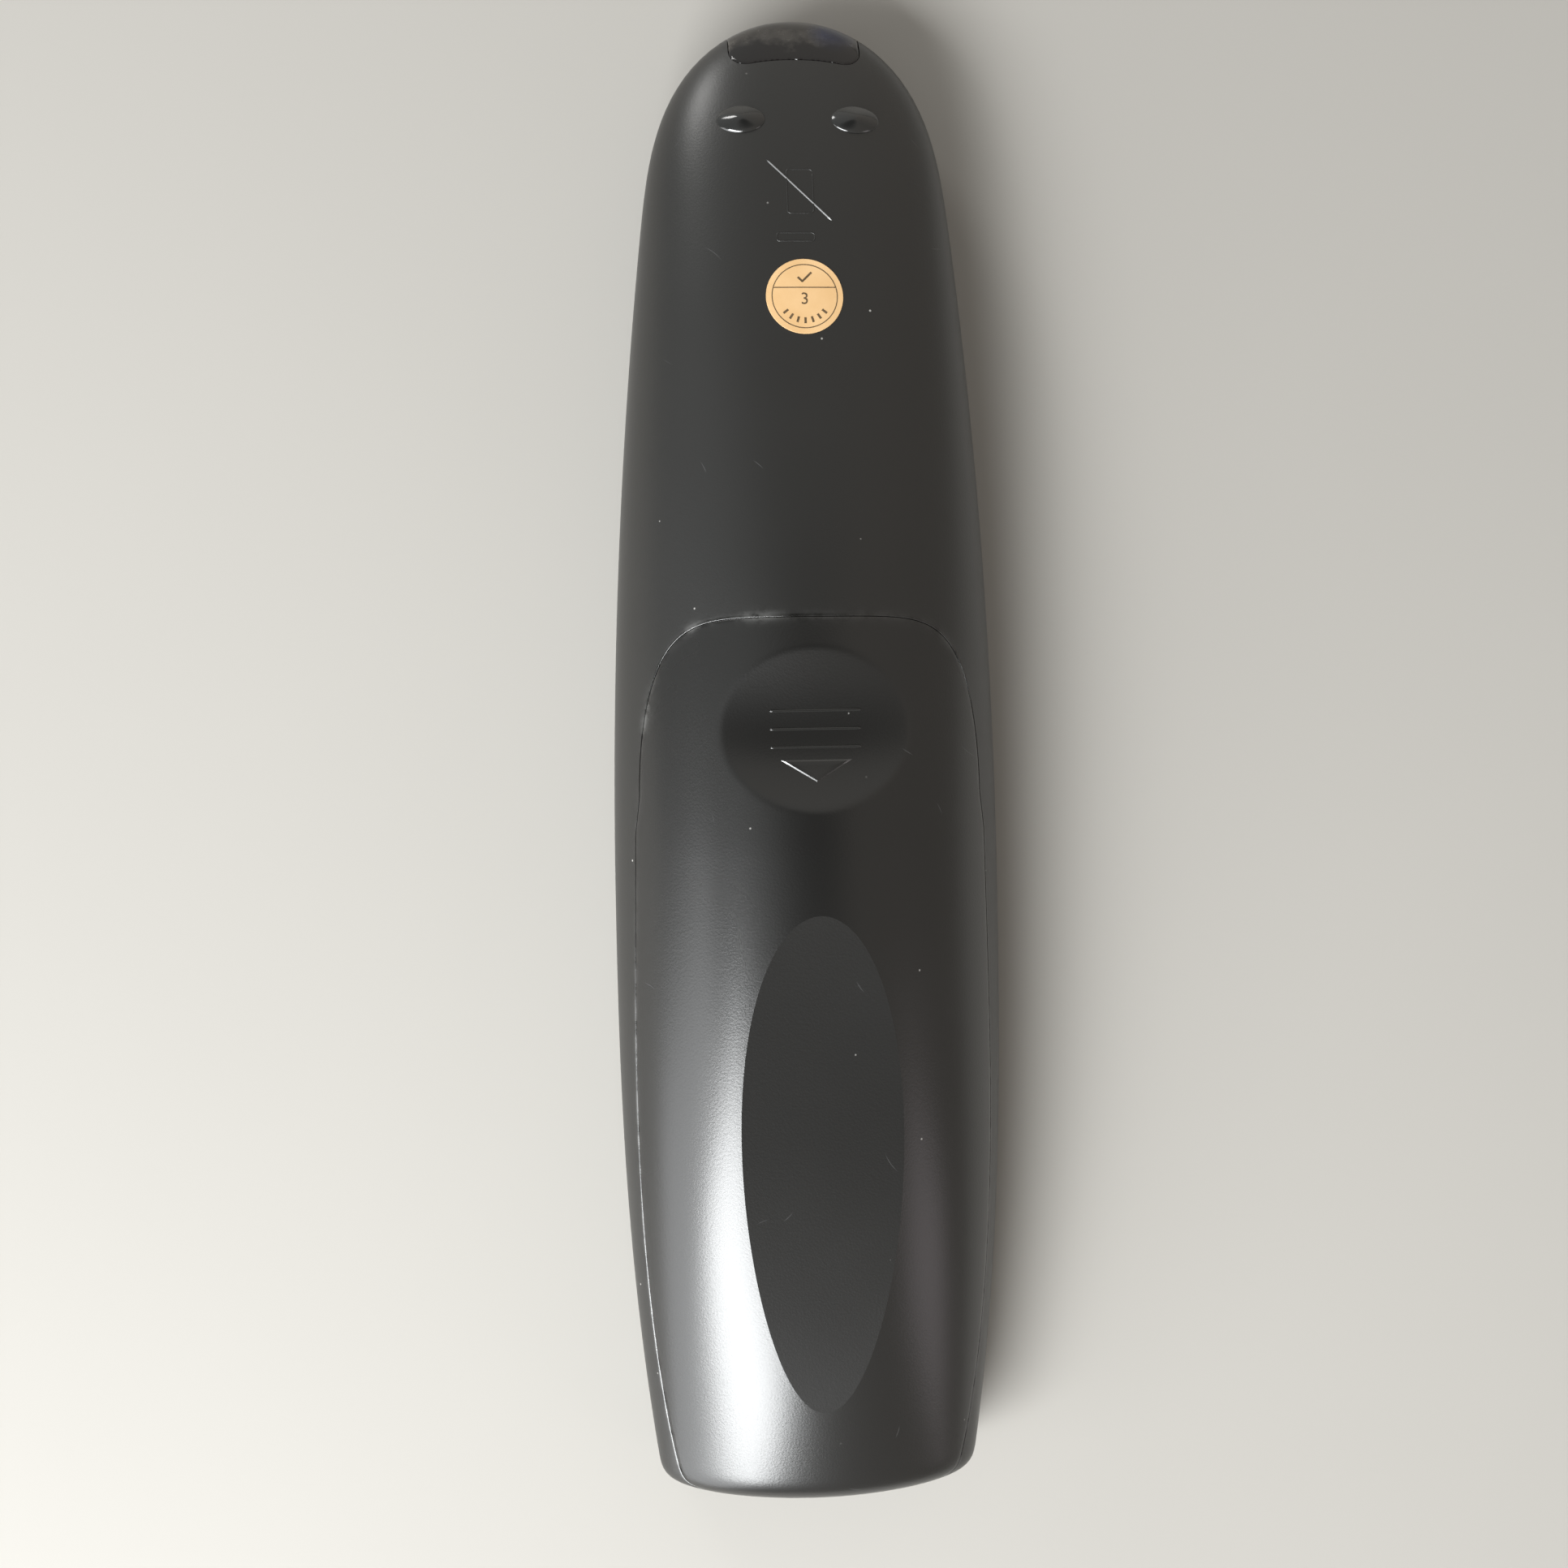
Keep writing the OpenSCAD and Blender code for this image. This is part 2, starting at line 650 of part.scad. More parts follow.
module contact_pads() {
    color("dimgray") {
        for (k = keys) pad(k[1], k[2]);
        for (a = arrows) pad(arrow_pad_r * cos(a[1]), arrows_y + arrow_pad_r * sin(a[1]));
        for (r = rockers, s = [-1, 1]) pad(r[1], rocker_y + s * rocker_pad);
    }
}

module pad(x, y) {
    translate([x, y, board_z - pad_t]) cylinder(d = pad_d, h = pad_t);
}

module ir_led() {
    d = 5;
    back_y = half_length - 11;
    led_z = board_top + 2.9;
    pin_d = 0.5;
    pin_length = 3;
    color("lavender") translate([0, back_y, led_z]) {
        rotate([-90, 0, 0]) cylinder(d = d, h = d);
        rotate([-90, 0, 0]) cylinder(d = d + 0.6, h = 1);
        translate([0, d, 0]) sphere(d = d);
        for (s = [-1, 1]) translate([s * 1.27, -pin_length, 0]) {
            rotate([-90, 0, 0]) cylinder(d = pin_d, h = pin_length + pin_d);
            translate([0, 0, board_top - led_z]) cylinder(d = pin_d, h = led_z - board_top + lap);
        }
    }
}

module led_driver() {
    d = 4.6;
    color("black") translate([power_x - 1, half_length - 21, board_top]) difference() {
        cylinder(d = d, h = d);
        translate([-d, d / 4, -1]) cube([2 * d, d, d + 2]);
    }
}

module control_chip() {
    pins = 10;
    pitch = 1.27;
    size = [7.6, pins * pitch + 0.3, 2.2];
    color("black") translate([0, half_length - 47, board_top]) {
        translate([-size.x / 2, -size.y / 2, fit]) cube(size);
        for (i = [0:pins - 1], s = [-1, 1])
            translate([s * (size.x / 2 + 0.5) - 0.9, (i - (pins - 1) / 2) * pitch - 0.2, 0])
                cube([1.8, 0.4, 0.8]);
    }
}

module resonator() {
    size = [3, 7, 6];
    color("darkorange") translate([column, half_length - 44, board_top]) {
        translate([-size.x / 2, -size.y / 2, 0.4]) cube(size);
        for (s = [-1, 1]) translate([0, s * 2.5, 0]) cylinder(d = 0.6, h = 1);
    }
}

module capacitor() {
    color("midnightblue") translate([-column, half_length - 55, board_top]) cylinder(d = 6.3, h = 8);
}

// Contact plate that stands against an end of the bay
module plate(x, y, w) {
    translate([x - w / 2, y, cell_z - plate_h / 2]) cube([w, plate_t, plate_h]);
}

module leg(x) {
    translate([x - leg_w / 2, bay_top_y - plate_t, board_top]) cube([leg_w, plate_t, cell_z - board_top]);
}

module tip(x, y) {
    translate([x, y, cell_z]) rotate([-90, 0, 0]) cylinder(d = tip_d, h = tip_t);
}

module positive_plate() {
    color("silver") union() {
        plate(-cell_x, bay_top_y - plate_t, plate_w);
        leg(-cell_x);
        tip(-cell_x, bay_top_y - plate_t - tip_t);
    }
}

module negative_plate() {
    color("silver") union() {
        plate(cell_x, bay_top_y - plate_t, plate_w);
        leg(cell_x);
    }
}

module bridge_plate() {
    color("silver") union() {
        plate(0, bay_end_y, 2 * cell_x + plate_w);
        tip(cell_x, bay_end_y + plate_t);
    }
}

// Cone of wire: its middle line, from the wide end at y = 0
spring_wide = 4.2;
spring_narrow = 2.8;
turn_rings = 8;
spring_rings = turn_rings * spring_turns;
spring_sides = 6;
spring_gap = 0.03;
spring_rise = spring_length - wire_d - 2 * spring_gap;
function spring_ring(i) = let (f = i / spring_rings, a = 360 * spring_turns * f,
        r = spring_wide + (spring_narrow - spring_wide) * f)
    [for (s = [0:spring_sides - 1]) let (b = 360 * s / spring_sides,
            q = r + wire_d / 2 * cos(b))
        [q * cos(a), wire_d / 2 + spring_gap + spring_rise * f + wire_d / 2 * sin(b), q * sin(a)]];
spring_points = [for (i = [0:spring_rings]) spring_ring(i)];
spring_space = min([for (i = [0:spring_rings - turn_rings], s = [0:spring_sides - 1],
        t = [0:spring_sides - 1])
    norm(spring_points[i][s] - spring_points[i + turn_rings][t])]);

module spring() {
    m = spring_sides;
    n = spring_rings;
    polyhedron(
        points = [for (ring = spring_points) each ring],
        faces = concat(
            [for (i = [0:n - 1], j = [0:m - 1]) [i * m + j, (i + 1) * m + j, i * m + (j + 1) % m]],
            [for (i = [0:n - 1], j = [0:m - 1])
                [(i + 1) * m + j, (i + 1) * m + (j + 1) % m, i * m + (j + 1) % m]],
            [[for (j = [0:m - 1]) j], [for (j = [m - 1:-1:0]) n * m + j]]));
}

module negative_spring() {
    color("silver") translate([cell_x, bay_top_y - plate_t, cell_z]) rotate([0, 0, 180]) spring();
}

module bridge_spring() {
    color("silver") translate([-cell_x, bay_end_y + plate_t, cell_z]) spring();
}

// A cell with its tip toward the nose, from its flat end
module cell() {
    button_d = 5.5;
    button_h = 1.2;
    rotate([-90, 0, 0]) {
        cylinder(d = cell_d, h = cell_length - button_h);
        cylinder(d = button_d, h = cell_length);
    }
}

module battery_left() {
    color("darkslategray") translate([-cell_x, bay_top_y - plate_t - tip_t - cell_length, cell_z]) cell();
}

module battery_right() {
    color("darkslategray") translate([cell_x, bay_end_y + plate_t + tip_t + cell_length, cell_z])
        rotate([0, 0, 180]) cell();
}

// Pan head screw with a cross slot, standing on its head's underside at z = 0
module screw(length) {
    slot = [2.6, 0.6, 1];
    translate([0, 0, -length]) cylinder(d = screw_d, h = length + fit);
    difference() {
        cylinder(d = head_d, h = head_h);
        for (a = [0, 90]) rotate(a) translate([-slot.x / 2, -slot.y / 2, head_h / 2]) cube(slot);
    }
}

module case_screws() {
    color("dimgray") at(case_screw_spots, joint_z + deck_t) screw(joint_z + deck_t - panel_z - 0.8);
}

module board_screws() {
    color("dimgray") at(board_screw_spots, board_top) screw(board_top - panel_z);
}

module key(k) {
    color(k[6]) union() {
        slab(key_lift, flange_z - key_lift + fit) key_shape(k, 0);
        slab(flange_z, flange_t) key_shape(k, flange);
        slab(flange_z, plunger_z - flange_z) key_shape(k, -plunger_inset);
    }
}

module arrow(a) {
    color("dimgray") union() {
        slab(key_lift, flange_z - key_lift + fit) arrow_shape(a, 0);
        slab(flange_z, flange_t) arrow_shape(a, flange);
        slab(flange_z, plunger_z - flange_z) arrow_shape(a, -plunger_inset);
    }
}

module rocker(r) {
    body_z = flange_z + flange_t;
    color("dimgray") union() {
        slab(rocker_lift, body_z - rocker_lift) rocker_shape(r, 0);
        slab(flange_z + 0.05, flange_t - 0.05) rocker_tabs(r, 0);
        for (s = [-1, 1]) translate([r[1], rocker_y + s * rocker_pad, body_z - fit])
            cylinder(d = pad_d - lap, h = rocker_nub_h + fit);
    }
}

echo(least_spring_gap = spring_space);

front_shell();
rear_shell();
battery_cover();
ir_window();
inspection_sticker();
keypad_mat();
circuit_board();
contact_pads();
ir_led();
led_driver();
control_chip();
resonator();
capacitor();
positive_plate();
negative_plate();
bridge_plate();
negative_spring();
bridge_spring();
battery_left();
battery_right();
case_screws();
board_screws();
for (k = keys) key(k);
for (a = arrows) arrow(a);
for (r = rockers) rocker(r);
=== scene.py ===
import math

import bmesh
import bpy
import numpy as np
from mathutils import Matrix, Vector
from mathutils.kdtree import KDTree


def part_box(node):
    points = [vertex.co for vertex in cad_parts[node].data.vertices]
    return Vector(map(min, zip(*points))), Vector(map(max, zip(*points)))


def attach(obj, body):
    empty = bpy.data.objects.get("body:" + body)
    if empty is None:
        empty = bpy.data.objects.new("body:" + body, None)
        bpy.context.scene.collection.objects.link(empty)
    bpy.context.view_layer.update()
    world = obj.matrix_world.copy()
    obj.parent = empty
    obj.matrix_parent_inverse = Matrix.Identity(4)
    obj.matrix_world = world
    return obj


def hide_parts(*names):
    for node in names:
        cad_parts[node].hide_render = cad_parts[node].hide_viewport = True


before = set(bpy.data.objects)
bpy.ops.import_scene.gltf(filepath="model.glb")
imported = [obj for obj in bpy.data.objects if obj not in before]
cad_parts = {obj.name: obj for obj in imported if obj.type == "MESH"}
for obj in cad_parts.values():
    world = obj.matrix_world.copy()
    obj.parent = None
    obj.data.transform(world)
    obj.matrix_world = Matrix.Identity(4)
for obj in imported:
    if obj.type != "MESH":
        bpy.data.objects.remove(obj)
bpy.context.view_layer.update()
mm = 0.001
scene = bpy.context.scene
scene.view_settings.view_transform = "Standard"
print("frame loaded:", len(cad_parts), "nodes")


def addObject(name, data):
    obj = bpy.data.objects.new(name, data)
    scene.collection.objects.link(obj)
    return obj


# camera, taken from the photo: almost straight above, leaning a little to the left flank
shot = {
    "target": (-2.57, -3.62, 9.0),  # mm, in the picture's own axes
    "distance": 241.0,
    "lean": 4.4,    # degrees toward the left flank
    "turn": 1.11,   # degrees that the remote lies askew
    "lens": 45.48, "sensor": 36, "nearest": 0.005,
}


def makeCamera():
    turn, lean = math.radians(shot["turn"]), math.radians(shot["lean"])
    across = Vector((math.cos(turn), -math.sin(turn), 0))
    up = Vector((math.sin(turn), math.cos(turn), 0))
    back = -math.sin(lean) * across + math.cos(lean) * Vector((0, 0, 1))
    right = math.cos(lean) * across + math.sin(lean) * Vector((0, 0, 1))
    tx, ty, tz = shot["target"]
    place = (tx * across + ty * up + Vector((0, 0, tz)) + back * shot["distance"]) * mm
    data = bpy.data.cameras.new("camera")
    data.lens, data.sensor_width, data.clip_start = shot["lens"], shot["sensor"], shot["nearest"]
    scene.camera = addObject("camera", data)
    turned = Matrix((right, up, back)).transposed().to_4x4()
    scene.camera.matrix_world = Matrix.Translation(place) @ turned


makeCamera()


# small helpers for node trees; a value is another socket or a constant
def feed(tree, socket, value):
    if isinstance(value, bpy.types.NodeSocket):
        tree.links.new(value, socket)
    elif socket.type == "RGBA":
        socket.default_value = (*value, 1)
    else:
        socket.default_value = value


def addNode(tree, kind, inputs=None, **settings):
    node = tree.nodes.new(kind)
    for key, value in settings.items():
        setattr(node, key, value)
    for key, value in (inputs or {}).items():
        feed(tree, node.inputs[key], value)
    return node


def maths(tree, operation, a, b=0.0, c=0.0, clamp=False):
    node = addNode(tree, "ShaderNodeMath", {0: a, 1: b, 2: c}, operation=operation, use_clamp=clamp)
    return node.outputs[0]


def times(tree, first, *others, clamp=False):
    for other in others:
        first = maths(tree, "MULTIPLY", first, other, clamp=clamp)
    return first


def timesAdd(tree, value, share, rest):
    return maths(tree, "MULTIPLY_ADD", value, share, rest)


def stretch(tree, value, low, high, outLow=0.0, outHigh=1.0):
    return addNode(tree, "ShaderNodeMapRange",
                   {"Value": value, "From Min": low, "From Max": high,
                    "To Min": outLow, "To Max": outHigh}).outputs["Result"]


def noise(tree, coords, scale, detail=2.0, rough=0.5):
    return addNode(tree, "ShaderNodeTexNoise", {"Vector": coords, "Scale": scale, "Detail": detail,
                                                "Roughness": rough}).outputs["Fac"]


def objectCoords(tree):
    return addNode(tree, "ShaderNodeTexCoord").outputs["Object"]


def splitAxes(tree, vector):
    return addNode(tree, "ShaderNodeSeparateXYZ", {"Vector": vector}).outputs


def mixColour(tree, factor, a, b):
    return addNode(tree, "ShaderNodeMix", {"Factor": factor, 6: a, 7: b}, data_type="RGBA").outputs[2]


def newGroup(name, inputs, outputs):
    group = bpy.data.node_groups.new(name, "ShaderNodeTree")
    for key, value in inputs.items():
        socket = group.interface.new_socket(key, in_out="INPUT", socket_type="NodeSocketFloat")
        socket.default_value = value
    for key in outputs:
        group.interface.new_socket(key, in_out="OUTPUT", socket_type="NodeSocketFloat")
    start, end = group.nodes.new("NodeGroupInput"), group.nodes.new("NodeGroupOutput")
    return group, start.outputs, end.inputs


# lights: a window at the lower left with a pale curtain under it, a far one, a card, an even room
lights = {
    "windowLight": {"place": (-0.315, -0.385, 0.43), "size": (0.50, 0.235), "power": 7.0,
                    "colour": (0.97, 0.99, 1.0)},
    "curtain": {"place": (-0.70, -0.59, 0.31), "size": (1.2, 0.64), "power": 7.4,
                "colour": (0.97, 0.985, 1.0)},
    "farWindow": {"place": (-0.47, 0.78, 0.29), "size": (0.24, 0.22), "power": 1.55,
                  "colour": (1.0, 0.99, 0.97)},
    "rightCard": {"place": (0.76, -0.46, 0.44), "size": (0.34, 0.34), "power": 0.4,
                  "colour": (1.0, 0.90, 0.95)},
}
# the room is dark straight above, and brighter past the nose
room = {"left": (0.97, 1.0, 0.98), "right": (1.0, 0.93, 0.84), "sides": (-0.5, 0.5),
        "walls": 0.32, "ceiling": 0.0, "ceilingZ": (0.90, 0.995), "farEnd": 1.8}


def makeLights():
    for name, lamp in lights.items():
        data = bpy.data.lights.new(name, "AREA")
        data.shape = "RECTANGLE"
        data.size, data.size_y = lamp["size"]
        data.energy, data.color = lamp["power"], lamp["colour"]
        obj = addObject(name, data)
        obj.location = lamp["place"]
        obj.rotation_euler = (-Vector(lamp["place"])).to_track_quat("-Z", "Y").to_euler()
    scene.world = bpy.data.worlds.new("room")
    scene.world.use_nodes = True
    tree = scene.world.node_tree
    sky = tree.nodes["Background"].inputs
    way = splitAxes(tree, addNode(tree, "ShaderNodeTexCoord").outputs["Generated"])
    side = stretch(tree, way["X"], *room["sides"])
    feed(tree, sky["Color"], mixColour(tree, side, room["left"], room["right"]))
    level = stretch(tree, way["Z"], *room["ceilingZ"], room["walls"], room["ceiling"])
    farther = stretch(tree, way["Y"], 0.0, 1.0, 1.0, room["farEnd"])
    feed(tree, sky["Strength"], times(tree, level, farther))


makeLights()
print("camera and lights done")


# moulded grain: fine spark texture with a slow waviness under it
grain = {"fine": 5200.0, "pits": 3600.0, "pitShare": 0.6, "slow": 42.0, "slowRange": (0.15, 0.85)}


def makeGrainGroup():
    group, given, result = newGroup("mouldGrain", {"Scale": 1.0}, ["Height", "Patch"])
    coords = objectCoords(group)
    fine = noise(group, coords, times(group, given["Scale"], grain["fine"]), 3.0, 0.6)
    pits = addNode(group, "ShaderNodeTexVoronoi",
                   {"Vector": coords, "Scale": times(group, given["Scale"], grain["pits"])})
    feed(group, result["Height"], timesAdd(group, pits.outputs["Distance"], grain["pitShare"], fine))
    feed(group, result["Patch"],
         stretch(group, noise(group, coords, grain["slow"]), *grain["slowRange"]))
    return group


# handling marks: short scuffs that lie every way, and specks of dust
scuffs = {"kinds": ((150.0, 0.0008, 0.86), (85.0, 0.0014, 0.88)),  # scale, reach, rareness
          "rareRange": 0.12, "turn": 6.283, "bend": 90.0, "width": (0.00001, 0.00005), "fade": 0.3}
specks = {"scale": 520.0, "size": (0.035, 0.085), "rare": (0.93, 0.95)}


def makeMarksGroup():
    group, given, result = newGroup("handlingMarks", {"Scratches": 1.0, "Dust": 1.0},
                                    ["Scratch", "Speck"])
    coords = objectCoords(group)
    total = 0.0
    for scale, reach, rare in scuffs["kinds"]:
        spot = addNode(group, "ShaderNodeTexVoronoi", {"Vector": coords, "Scale": scale},
                       voronoi_dimensions="2D").outputs
        chance = addNode(group, "ShaderNodeSeparateColor", {"Color": spot["Color"]}).outputs
        local = addNode(group, "ShaderNodeVectorMath", {0: coords, 1: spot["Position"]},
                        operation="SUBTRACT").outputs[0]
        turned = addNode(group, "ShaderNodeVectorRotate",
                         {"Vector": local, "Angle": times(group, chance[0], scuffs["turn"])},
                         rotation_type="Z_AXIS").outputs[0]
        flat = splitAxes(group, turned)
        bend = times(group, flat["X"], flat["X"], scuffs["bend"])
        across = maths(group, "ABSOLUTE", maths(group, "ADD", flat["Y"], bend))
        along = maths(group, "ABSOLUTE", flat["X"])
        line = times(group, stretch(group, across, *scuffs["width"], 1.0, 0.0),
                     stretch(group, along, scuffs["fade"] * reach, reach, 1.0, 0.0),
                     stretch(group, chance[1], rare, rare + scuffs["rareRange"]))
        total = maths(group, "MAXIMUM", total, line)
    feed(group, result["Scratch"], times(group, total, given["Scratches"], clamp=True))
    dots = addNode(group, "ShaderNodeTexVoronoi",
                   {"Vector": coords, "Scale": specks["scale"]}).outputs
    chance = addNode(group, "ShaderNodeSeparateColor", {"Color": dots["Color"]}).outputs
    feed(group, result["Speck"],
         times(group, stretch(group, dots["Distance"], *specks["size"], 1.0, 0.0),
               stretch(group, chance[0], *specks["rare"]), given["Dust"], clamp=True))
    return group


# rubbed edges and a painted glint: reads the piece's own worn places, with the painted glint line
# along the lower left seam among them, and its nearness to the seam, which is polished
rubbingAndGlint = {"breakup": 420.0, "shown": (0.40, 0.58), "lip": (0.60, 0.80)}


def makeRubAndGlintGroup():
    group, given, result = newGroup("edgeRub", {"Amount": 1.0}, ["Rub", "Lip"])
    worn, near = (addNode(group, "ShaderNodeAttribute", attribute_name=name).outputs["Fac"]
                  for name in ("worn", "nearSeam"))
    breakup = noise(group, objectCoords(group), rubbingAndGlint["breakup"], 4.0, 0.65)
    shown = stretch(group, breakup, *rubbingAndGlint["shown"])
    feed(group, result["Rub"], times(group, worn, shown, given["Amount"], clamp=True))
    feed(group, result["Lip"], stretch(group, near, *rubbingAndGlint["lip"]))
    return group


grainGroup, marksGroup, rubAndGlintGroup = makeGrainGroup(), makeMarksGroup(), makeRubAndGlintGroup()


def useGroup(tree, group, **values):
    return addNode(tree, "ShaderNodeGroup", values, node_tree=group).outputs


def newMaterial(name):
    material = bpy.data.materials.new(name)
    material.use_nodes = True
    return material, material.node_tree


def fillShader(tree, values):
    shader = tree.nodes["Principled BSDF"].inputs
    for key, value in values.items():
        feed(tree, shader[key], value)


def bumpOf(tree, height, strength, distance):
    return addNode(tree, "ShaderNodeBump", {"Height": height, "Strength": strength,
                                            "Distance": distance}).outputs["Normal"]


# moulded plastic of the case, with its grain, handling marks, rubbed edges and a painted glint line
# along the lower left seam
# the rub colour is light: it paints worn places and also the painted glint, a thin light line along
# the lower left seam
plastic = {"scuff": (0.16, 0.16, 0.165), "scuffShare": 0.35, "scuffDepth": -1.2,
           "rubAndGlint": (0.42, 0.42, 0.41), "rubAndGlintShare": 0.7, "lipRough": 0.11,
           "dust": (0.42, 0.41, 0.39), "dustShare": 1.0, "dustRough": 0.3, "patchRough": 0.03,
           "depth": 0.00006}


def mouldedPlastic(name, colour, rough, bump=0.12, dust=1.0, scratches=1.0, rubAndGlint=1.0, ior=1.7):
    material, tree = newMaterial(name)
    texture = useGroup(tree, grainGroup, Scale=1.0)
    marks = useGroup(tree, marksGroup, Scratches=scratches, Dust=dust)
    worn = useGroup(tree, rubAndGlintGroup, Amount=rubAndGlint)
    lighter = tuple(c * 1.3 + 0.002 for c in colour)
    base = mixColour(tree, times(tree, texture["Patch"], 0.5), colour, lighter)
    # the rub mask paints worn places and the painted glint line in the light rub colour
    for mask, kind in ((marks["Scratch"], "scuff"), (worn["Rub"], "rubAndGlint"), (marks["Speck"], "dust")):
        base = mixColour(tree, times(tree, mask, plastic[kind + "Share"]), base, plastic[kind])
    patch = plastic["patchRough"]
    uneven = timesAdd(tree, texture["Patch"], patch, rough - patch / 2)
    uneven = timesAdd(tree, marks["Speck"], plastic["dustRough"], uneven)
    uneven = timesAdd(tree, worn["Lip"], plastic["lipRough"] - rough, uneven)
    relief = timesAdd(tree, marks["Scratch"], plastic["scuffDepth"], texture["Height"])
    fillShader(tree, {"Base Color": base, "Roughness": uneven, "IOR": ior,
                      "Normal": bumpOf(tree, relief, bump, plastic["depth"])})
    return material


rubber = {"grain": 1.5, "dust": 0.35, "dustColour": (0.4, 0.39, 0.37), "patchRough": 0.08,
          "bump": 0.3, "depth": 0.00005}


def rubberOf(name, colour, rough=0.62):
    material, tree = newMaterial(name)
    texture = useGroup(tree, grainGroup, Scale=rubber["grain"])
    marks = useGroup(tree, marksGroup, Scratches=0.0, Dust=rubber["dust"])
    lighter = tuple(min(1.0, c * 1.25 + 0.01) for c in colour)
    base = mixColour(tree, texture["Patch"], colour, lighter)
    fillShader(tree, {
        "Base Color": mixColour(tree, marks["Speck"], base, rubber["dustColour"]),
        "Roughness": timesAdd(tree, texture["Patch"], rubber["patchRough"], rough),
        "Normal": bumpOf(tree, texture["Height"], rubber["bump"], rubber["depth"])})
    return material


steel = {"drawn": (1.0, 1.0, 0.05), "streaks": 2600.0, "stains": 320.0, "dull": 0.72,
         "roughRange": (-0.08, 0.12), "bump": 0.15, "depth": 0.00003}


def steelOf(name, colour, rough):
    material, tree = newMaterial(name)
    coords = objectCoords(tree)
    drawn = addNode(tree, "ShaderNodeMapping", {"Vector": coords, "Scale": steel["drawn"]}).outputs[0]
    streak = noise(tree, drawn, steel["streaks"], 3.0, 0.6)
    stain = noise(tree, coords, steel["stains"], 3.0, 0.6)
    dull = tuple(c * steel["dull"] for c in colour)
    smooth, coarse = (rough + change for change in steel["roughRange"])
    fillShader(tree, {
        "Base Color": mixColour(tree, stretch(tree, stain, 0.45, 0.75), colour, dull),
        "Roughness": stretch(tree, streak, 0.25, 0.75, smooth, coarse), "Metallic": 1.0,
        "Normal": bumpOf(tree, streak, steel["bump"], steel["depth"])})
    return material


def roughBetween(tree, cloud, low, high):
    return stretch(tree, cloud, 0.3, 0.7, low, high)


# two tones in a fine cloud, for boards, chips, carbon and ink
speckle = {"tones": (0.4, 0.65), "roughShift": 0.06, "bump": 0.1, "depth": 0.00005}


def speckled(name, colour, other, scale, rough):
    material, tree = newMaterial(name)
    cloud = noise(tree, objectCoords(tree), scale, 4.0, 0.6)
    shift = speckle["roughShift"]
    fillShader(tree, {
        "Base Color": mixColour(tree, stretch(tree, cloud, *speckle["tones"]), colour, other),
        "Roughness": roughBetween(tree, cloud, rough - shift, rough + shift),
        "Normal": bumpOf(tree, cloud, speckle["bump"], speckle["depth"])})
    return material


caseBlack = mouldedPlastic("caseBlack", (0.0080, 0.0077, 0.0070), 0.37)
coverBlack = mouldedPlastic("coverBlack", (0.0080, 0.0077, 0.0072), 0.28, dust=0.8)
frontBlack = mouldedPlastic("frontBlack", (0.014, 0.0138, 0.0135), 0.38, dust=0.6)
bayBlack = mouldedPlastic("bayBlack", (0.016, 0.016, 0.016), 0.45, dust=0.5, rubAndGlint=0.0)
nubBlack = mouldedPlastic("nubBlack", (0.012, 0.012, 0.0115), 0.13, bump=0.03, dust=0.4,
                          scratches=0.0, rubAndGlint=0.0, ior=1.75)
ridgeBlack = mouldedPlastic("ridgeBlack", (0.012, 0.012, 0.0115), 0.23, bump=0.03, dust=0.0,
                            scratches=0.0, rubAndGlint=0.0, ior=2.0)
keyGrey = rubberOf("keyGrey", (0.105, 0.107, 0.112))
keyRed = rubberOf("keyRed", (0.42, 0.030, 0.030))
keyGreen = rubberOf("keyGreen", (0.035, 0.26, 0.085))
keyYellow = rubberOf("keyYellow", (0.66, 0.46, 0.045))
keyBlue = rubberOf("keyBlue", (0.045, 0.12, 0.42))
matGrey = rubberOf("matGrey", (0.17, 0.17, 0.18), 0.7)
contactSteel = steelOf("contactSteel", (0.72, 0.71, 0.68), 0.26)
screwSteel = steelOf("screwSteel", (0.30, 0.30, 0.315), 0.34)
carbonBlack = speckled("carbonBlack", (0.018, 0.018, 0.018), (0.035, 0.035, 0.034), 2600.0, 0.72)
boardGreen = speckled("boardGreen", (0.022, 0.13, 0.055), (0.03, 0.17, 0.075), 700.0, 0.34)
chipBlack = speckled("chipBlack", (0.02, 0.02, 0.021), (0.036, 0.036, 0.038), 2200.0, 0.6)
ceramicOrange = speckled("ceramicOrange", (0.62, 0.23, 0.03), (0.7, 0.3, 0.06), 900.0, 0.22)
canBlue = speckled("canBlue", (0.02, 0.035, 0.16), (0.03, 0.05, 0.2), 600.0, 0.25)
symbolInk = speckled("symbolInk", (0.78, 0.78, 0.76), (0.7, 0.7, 0.69), 1800.0, 0.55)
printInk = speckled("printInk", (0.10, 0.065, 0.03), (0.14, 0.09, 0.045), 2000.0, 0.5)
print("materials done")


# shapes of the back, in millimetres, by the same rules as the solids
body = {
    "halfLength": 89.0, "halfWidth": 23.3, "widestY": -16.02, "taper": (7.9, 4.7),
    "taperPower": (2, 2.6), "noseReach": 27.0, "noseRound": (3.5, 2), "tailReach": 7.0,
    "tailRound": (7, 2), "jointZ": 9.0, "wall": 1.8, "crestZ": 26.0, "crestY": -12.015,
    "drop": (11.7, 9.5), "dropPower": (1.6, 2.4), "crestNoseReach": 34.0, "crestNoseRound": (4, 2),
    "crestTailReach": 5.0, "crestTailRound": (5, 3), "crown": (2.0, 0.8), "crownY": (10.0, 50.0),
    "flank": (1.9, 0.4), "flankReach": 45.0,
}


def capRound(t, power, root):
    return (1.0 - np.clip(t, 0.0, 1.0) ** power) ** (1.0 / root)


# rounding toward the two ends, at a depth d in the wall
def noseCap(y, d, reach, bend):
    return capRound((y - body["halfLength"] + reach) / (reach - d), *bend)


def tailCap(y, d, reach, bend):
    return capRound((reach - body["halfLength"] - y) / (reach - d), *bend)


